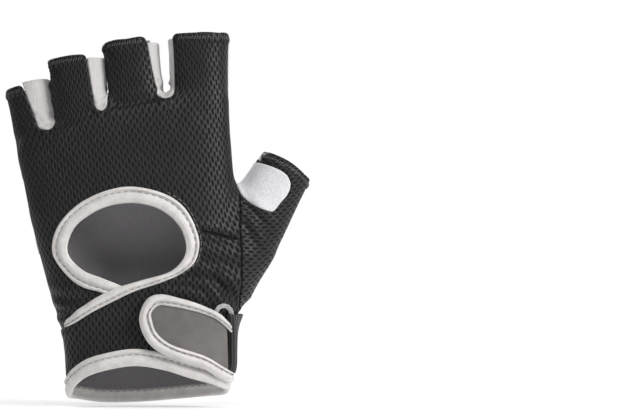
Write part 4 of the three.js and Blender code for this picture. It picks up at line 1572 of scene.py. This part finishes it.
class GLOVE_OT_bindings(bpy.types.Operator):
    """Make the binding round the oval and along the band, and the one round the wrist"""
    bl_idname = "glove.bindings"
    bl_label = "Bindings"

    def execute(self, context):
        style = context.scene.glove_style
        glove = glove_at(STEP)

        def height_at(flat, part):
            tucked = -0.5 * smoothstep(0.05, 0.0, part) - 2.6 * smoothstep(0.957, 0.99, part)
            return tucked + band_lift(flat) * smoothstep(0.5, 0.75, part)
        surface, count = face_strip(OVAL_BINDING, "back", height_at, beyond=9)
        profile = bound_profile(OVAL_EDGE_WIDTH, style.cloth, style.binding, puff=0.25)
        obj = ribbon("oval_binding", surface, count, profile, OVAL_EDGE_WIDTH)
        place(obj, edge_finish(), "binding", "opening_binding")

        rough = np.linspace(0, 2 * math.pi, 720, endpoint=False)
        ring, _ = around(glove, rough, np.full(720, 8.0))
        closed = np.vstack([ring, ring[:1]])
        steps = run_lengths(closed)
        angles = np.interp(np.linspace(0, steps[-1], 280, endpoint=False), steps, np.r_[rough, 2 * math.pi])
        arch = smooth_line(ARCH, spacing=0.8)
        hem = smooth_line(HEM, spacing=0.8)

        def cuff(part):
            low = np.full(len(angles), 6.0)
            for _ in range(3):
                points, _ = around(glove, angles, low)
                on_palm = smoothstep(-7, 7, points[:, 1])
                low_back, low_palm = (np.interp(points[:, 0], *line.T) for line in (arch, hem))
                low = low_back * (1 - on_palm) + low_palm * on_palm
            points, normals = around(glove, angles, low + part * CUFF_WIDTH)
            return lifted(points, normals, 0.0), normals
        profile = bound_profile(CUFF_WIDTH, style.cloth, style.binding, puff=0.25, groove=0.64)
        obj = ribbon("wrist_binding", cuff, len(angles), profile, CUFF_WIDTH, closed=True)
        place(obj, edge_finish(), "binding", "cuff_binding")

        beside = kept([sewn_line(surface, 1.2, style.cloth / 2)], lambda p: (p[:, 0] > 8) & (p[:, 2] > 58))
        place(threads("seam_stitches", beside, length=style.stitch, gap=0.5, radius=0.2),
              thread_finish(*SEAM_THREAD), "black_mesh")
        thread = thread_finish(*BINDING_THREAD)
        top = style.cloth / 2 + style.binding
        points, normals = sewn_line(cuff, 0.64, top - STITCH_DEPTH)
        inner, inner_normals = sewn_line(cuff, 0.6, -top)
        runs = [sewn_line(surface, 0.66, top - STITCH_DEPTH),
                (np.vstack([points, points[:1]]), np.vstack([normals, normals[:1]])),
                (np.vstack([inner, inner[:1]]), -np.vstack([inner_normals, inner_normals[:1]]))]
        place(threads("binding_stitches", runs, length=style.stitch, radius=0.2), thread, "binding")
        return {"FINISHED"}


def around(glove, angles, heights):
    """Points of the surface in directions round the middle of the wrist, with their normals."""
    reach = np.arange(6, 58, glove.step)
    directions = np.column_stack([np.sin(angles), -np.cos(angles)])
    points = np.empty((len(angles), len(reach), 3))
    points[:, :, :2] = directions[:, None] * reach[None, :, None]
    points[:, :, 2] = np.asarray(heights)[:, None]
    values = glove.sample(glove.field, points.reshape(-1, 3)).reshape(len(angles), len(reach))
    first = np.clip(np.argmax(values > 0, axis=1), 1, len(reach) - 1)
    row = np.arange(len(angles))
    a, b = values[row, first - 1], values[row, first]
    distance = reach[first - 1] + np.clip(a / (a - b), 0, 1) * glove.step
    result = np.column_stack([directions * distance[:, None], heights])
    return result, glove.normal_at(result)


class GLOVE_OT_closure(bpy.types.Operator):
    """Make the tab with its binding, the clear ring and the loop that holds it"""
    bl_idname = "glove.closure"
    bl_label = "Wrist closure"

    def execute(self, context):
        style = context.scene.glove_style
        glove = glove_at(STEP)
        a = areas_at(STEP)
        outline = list(smooth_line(TAB_OUTER, spacing=1.0))
        level = meet(a.side, area_distance(a.flat, outline) + 0.8)
        tab = Cloth(glove, level, lift=TAB_LIFT, thick=TAB_THICK)
        tab.height = TAB_LIFT + 0.15 * noise(tab.base, 14, 31)
        place(tab.shell("pull_tab", tab.base[:, [0, 2]]), tab_finish(), "tab_grey", "closure_tab")

        pairs = list(zip(TAB_OUTER, TAB_INNER))
        flat = smooth_line([tuple(o) + tuple(i) for o, i in pairs], spacing=0.8)

        def surface(part):
            here = flat[:, :2] * (1 - part) + flat[:, 2:] * part
            points, normals = glove.on_face(here, "back")
            return points + normals * TAB_LIFT, normals
        profile = bound_profile(TAB_EDGE_WIDTH, TAB_THICK, 0.8, puff=0.25)
        obj = ribbon("tab_edge", surface, len(flat), profile, TAB_EDGE_WIDTH)
        place(obj, edge_finish(), "binding", "tab_binding")
        runs = [sewn_line(surface, 0.66, TAB_THICK / 2 + 0.8 - STITCH_DEPTH)]
        obj = threads("tab_stitches", runs, length=style.stitch, radius=0.2)
        place(obj, thread_finish(*BINDING_THREAD), "binding")

        corner = RING["corner"]
        shape = []
        for x, z, quarter in ((RING["right"], RING["high"], 0), (RING["left"], RING["high"], 1),
                              (RING["left"], RING["low"], 2), (RING["right"], RING["low"], 3)):
            cx = x - corner if quarter in (0, 3) else x + corner
            cz = z - corner if quarter in (0, 1) else z + corner
            for t in np.linspace(0, math.pi / 2, 7):
                shape.append((cx + corner * math.cos(t + quarter * math.pi / 2),
                              cz + corner * math.sin(t + quarter * math.pi / 2)))
        shape = even_line(np.array(shape + shape[:1]), 0.8)[:-1]
        path, normals = glove.on_face(shape, "back", offset=RING_LIFT)
        for _ in range(12):
            path = 0.5 * path + 0.25 * (np.roll(path, 1, axis=0) + np.roll(path, -1, axis=0))
        obj = closed_rod("clear_ring", path, normals, RING_ROD)
        place(obj, clear_finish(), "clear_plastic", "strap_ring")

        arm = path[path[:, 0] > (RING["left"] + RING["right"]) / 2]
        arm = arm[np.argsort(arm[:, 2])]
        wrap = np.radians(np.linspace(-80, 90, 12))[:, None]

        def loop(part):
            z = LOOP_FOOT + LOOP_WIDTH * part
            x, y = (np.interp(z, arm[:, 2], arm[:, axis]) for axis in (0, 1))
            begin = math.atan2(x, -y)
            out = np.array([math.sin(begin), -math.cos(begin), 0])
            back = np.array([math.cos(begin), math.sin(begin), 0])
            turned = np.sin(wrap) * out - np.cos(wrap) * back
            angles = np.linspace(begin, math.radians(LOOP_END), 18)
            points, normals = around(glove, angles, np.full(len(angles), z))
            rays = np.column_stack([np.sin(angles), -np.cos(angles), 0 * angles])
            share = np.linspace(0, 1, len(angles))[:, None]
            top = math.hypot(x, y) + LOOP_TURN - np.linalg.norm(points[0, :2])
            points = points + rays * (LOOP_LOW + (top - LOOP_LOW) * smoothstep(1, 0, share))
            normals = normals * smoothstep(0, 0.4, share) + rays * smoothstep(0.4, 0, share)
            normals = unit(normals)
            return (np.vstack([np.array([x, y, z]) + LOOP_TURN * turned, points[1:]]),
                    np.vstack([turned, normals[1:]]))
        profile = [(0, -0.35), (0, 0.35), (0.5, 0.5), (13, 0.55), (LOOP_WIDTH - 0.5, 0.5),
                   (LOOP_WIDTH, 0.35), (LOOP_WIDTH, -0.35), (LOOP_WIDTH - 0.5, -0.5), (13, -0.5), (0.5, -0.5)]
        profile = smooth_line(profile, closed=True, spacing=0.8)[:-1]
        profile[:, 0] = np.clip(profile[:, 0], 0, LOOP_WIDTH)
        obj = ribbon("loop_webbing", loop, 29, profile, LOOP_WIDTH)
        place(obj, webbing_finish(), "webbing", "ring_loop")
        return {"FINISHED"}


class GLOVE_OT_lining(bpy.types.Operator):
    """Make the lining that shows through the oval and the wrist opening"""
    bl_idname = "glove.lining"
    bl_label = "Lining"

    def execute(self, context):
        a = areas_at(STEP)
        z = a.points[:, 2]
        edge = np.interp(a.points[:, 0], (-80, -10, 30, 80), (108, 112, 108, 60))
        level = meet(-a.side, 4.9 - a.hem, z - edge)
        lining = Cloth(a.glove, level, lift=-1.9, thick=0.8)
        obj = lining.shell("grey_palm_lining", hand_grain(a.glove, lining.base))
        place(obj, lining_finish(), "lining", "palm_lining")
        return {"FINISHED"}


class GLOVE_OT_stage(bpy.types.Operator):
    """Make the camera, the pale floor and the soft lights"""
    bl_idname = "glove.stage"
    bl_label = "Stage"

    def execute(self, context):
        scene = context.scene
        camera = bpy.data.objects.new("camera", bpy.data.cameras.new("camera"))
        scene.collection.objects.link(camera)
        scene.camera = camera
        camera.location = (VIEW_X * MM, -VIEW_DISTANCE * MM, VIEW_Z * MM)
        camera.rotation_euler = (math.radians(90), 0, 0)
        camera.data.sensor_width = 36
        camera.data.lens = 36 * VIEW_DISTANCE / VIEW_WIDTH
        camera.data.clip_end = 30
        scene.view_settings.view_transform = "Standard"

        low = CAD_BOX[0][2] - FLOOR_DROP
        around_it = np.linspace(0, 2 * math.pi, 96, endpoint=False)
        rings = [(0, 0, low)]
        rings += [(r * math.cos(t), r * math.sin(t), low) for r in (0.3, FLOOR_RADIUS) for t in around_it]
        faces = [(0, k + 1, (k + 1) % 96 + 1) for k in range(96)]
        faces += [(k + 1, k + 97, (k + 1) % 96 + 97, (k + 1) % 96 + 1) for k in range(96)]
        obj = make_object("floor", np.array(rings) / MM, faces)
        f = Finish("pale_floor", 0.9, specular=0.1)
        f.paint(f.mixed(f.noise(300.0), (0.62, 0.62, 0.62), (0.64, 0.64, 0.64)))
        f.shader.inputs["Emission Color"].default_value = (1, 1, 1, 1)
        f.shader.inputs["Emission Strength"].default_value = FLOOR_GLOW
        obj.data.materials.append(f.material)

        world = bpy.data.worlds.new("studio")
        scene.world = world
        world.use_nodes = True
        background = world.node_tree.nodes["Background"]
        background.inputs["Color"].default_value = (1, 1, 1, 1)
        rays = world.node_tree.nodes.new("ShaderNodeLightPath")
        strength = world.node_tree.nodes.new("ShaderNodeMapRange")
        strength.inputs["To Min"].default_value = SURROUND
        strength.inputs["To Max"].default_value = 1.0
        world.node_tree.links.new(rays.outputs["Is Camera Ray"], strength.inputs["Value"])
        world.node_tree.links.new(strength.outputs[0], background.inputs["Strength"])
        for name, place_at, power, size in LIGHTS:
            data = bpy.data.lights.new(name, "AREA")
            data.energy = power
            data.size = size
            light = bpy.data.objects.new(name, data)
            light.location = place_at
            aim = Vector(LIGHT_AIM) - Vector(place_at)
            light.rotation_euler = aim.to_track_quat("-Z", "Y").to_euler()
            scene.collection.objects.link(light)
        return {"FINISHED"}


class GLOVE_PT_panel(bpy.types.Panel):
    """Lists the steps of the glove and its settings"""
    bl_idname = "GLOVE_PT_panel"
    bl_label = "Fitness glove"
    bl_space_type = "VIEW_3D"
    bl_region_type = "UI"
    bl_category = "Glove"

    def draw(self, context):
        style = context.scene.glove_style
        for name in GloveStyle.__annotations__:
            self.layout.prop(style, name)
        for operator in OPERATORS:
            self.layout.operator(operator.bl_idname)


OPERATORS = [GLOVE_OT_stage, GLOVE_OT_lining, GLOVE_OT_back, GLOVE_OT_palm, GLOVE_OT_thumb,
             GLOVE_OT_between_fingers, GLOVE_OT_bindings, GLOVE_OT_closure]
CLASSES = [GloveStyle] + OPERATORS + [GLOVE_PT_panel]


def register():
    for each in CLASSES:
        bpy.utils.register_class(each)
    bpy.types.Scene.glove_style = bpy.props.PointerProperty(type=GloveStyle)


def unregister():
    del bpy.types.Scene.glove_style
    for each in reversed(CLASSES):
        bpy.utils.unregister_class(each)


def main():
    register()
    bpy.ops.glove.stage()
    bpy.ops.glove.lining()
    bpy.ops.glove.back()
    bpy.ops.glove.palm()
    bpy.ops.glove.thumb()
    bpy.ops.glove.between_fingers()
    bpy.ops.glove.bindings()
    bpy.ops.glove.closure()


if __name__ == "__main__":
    main()
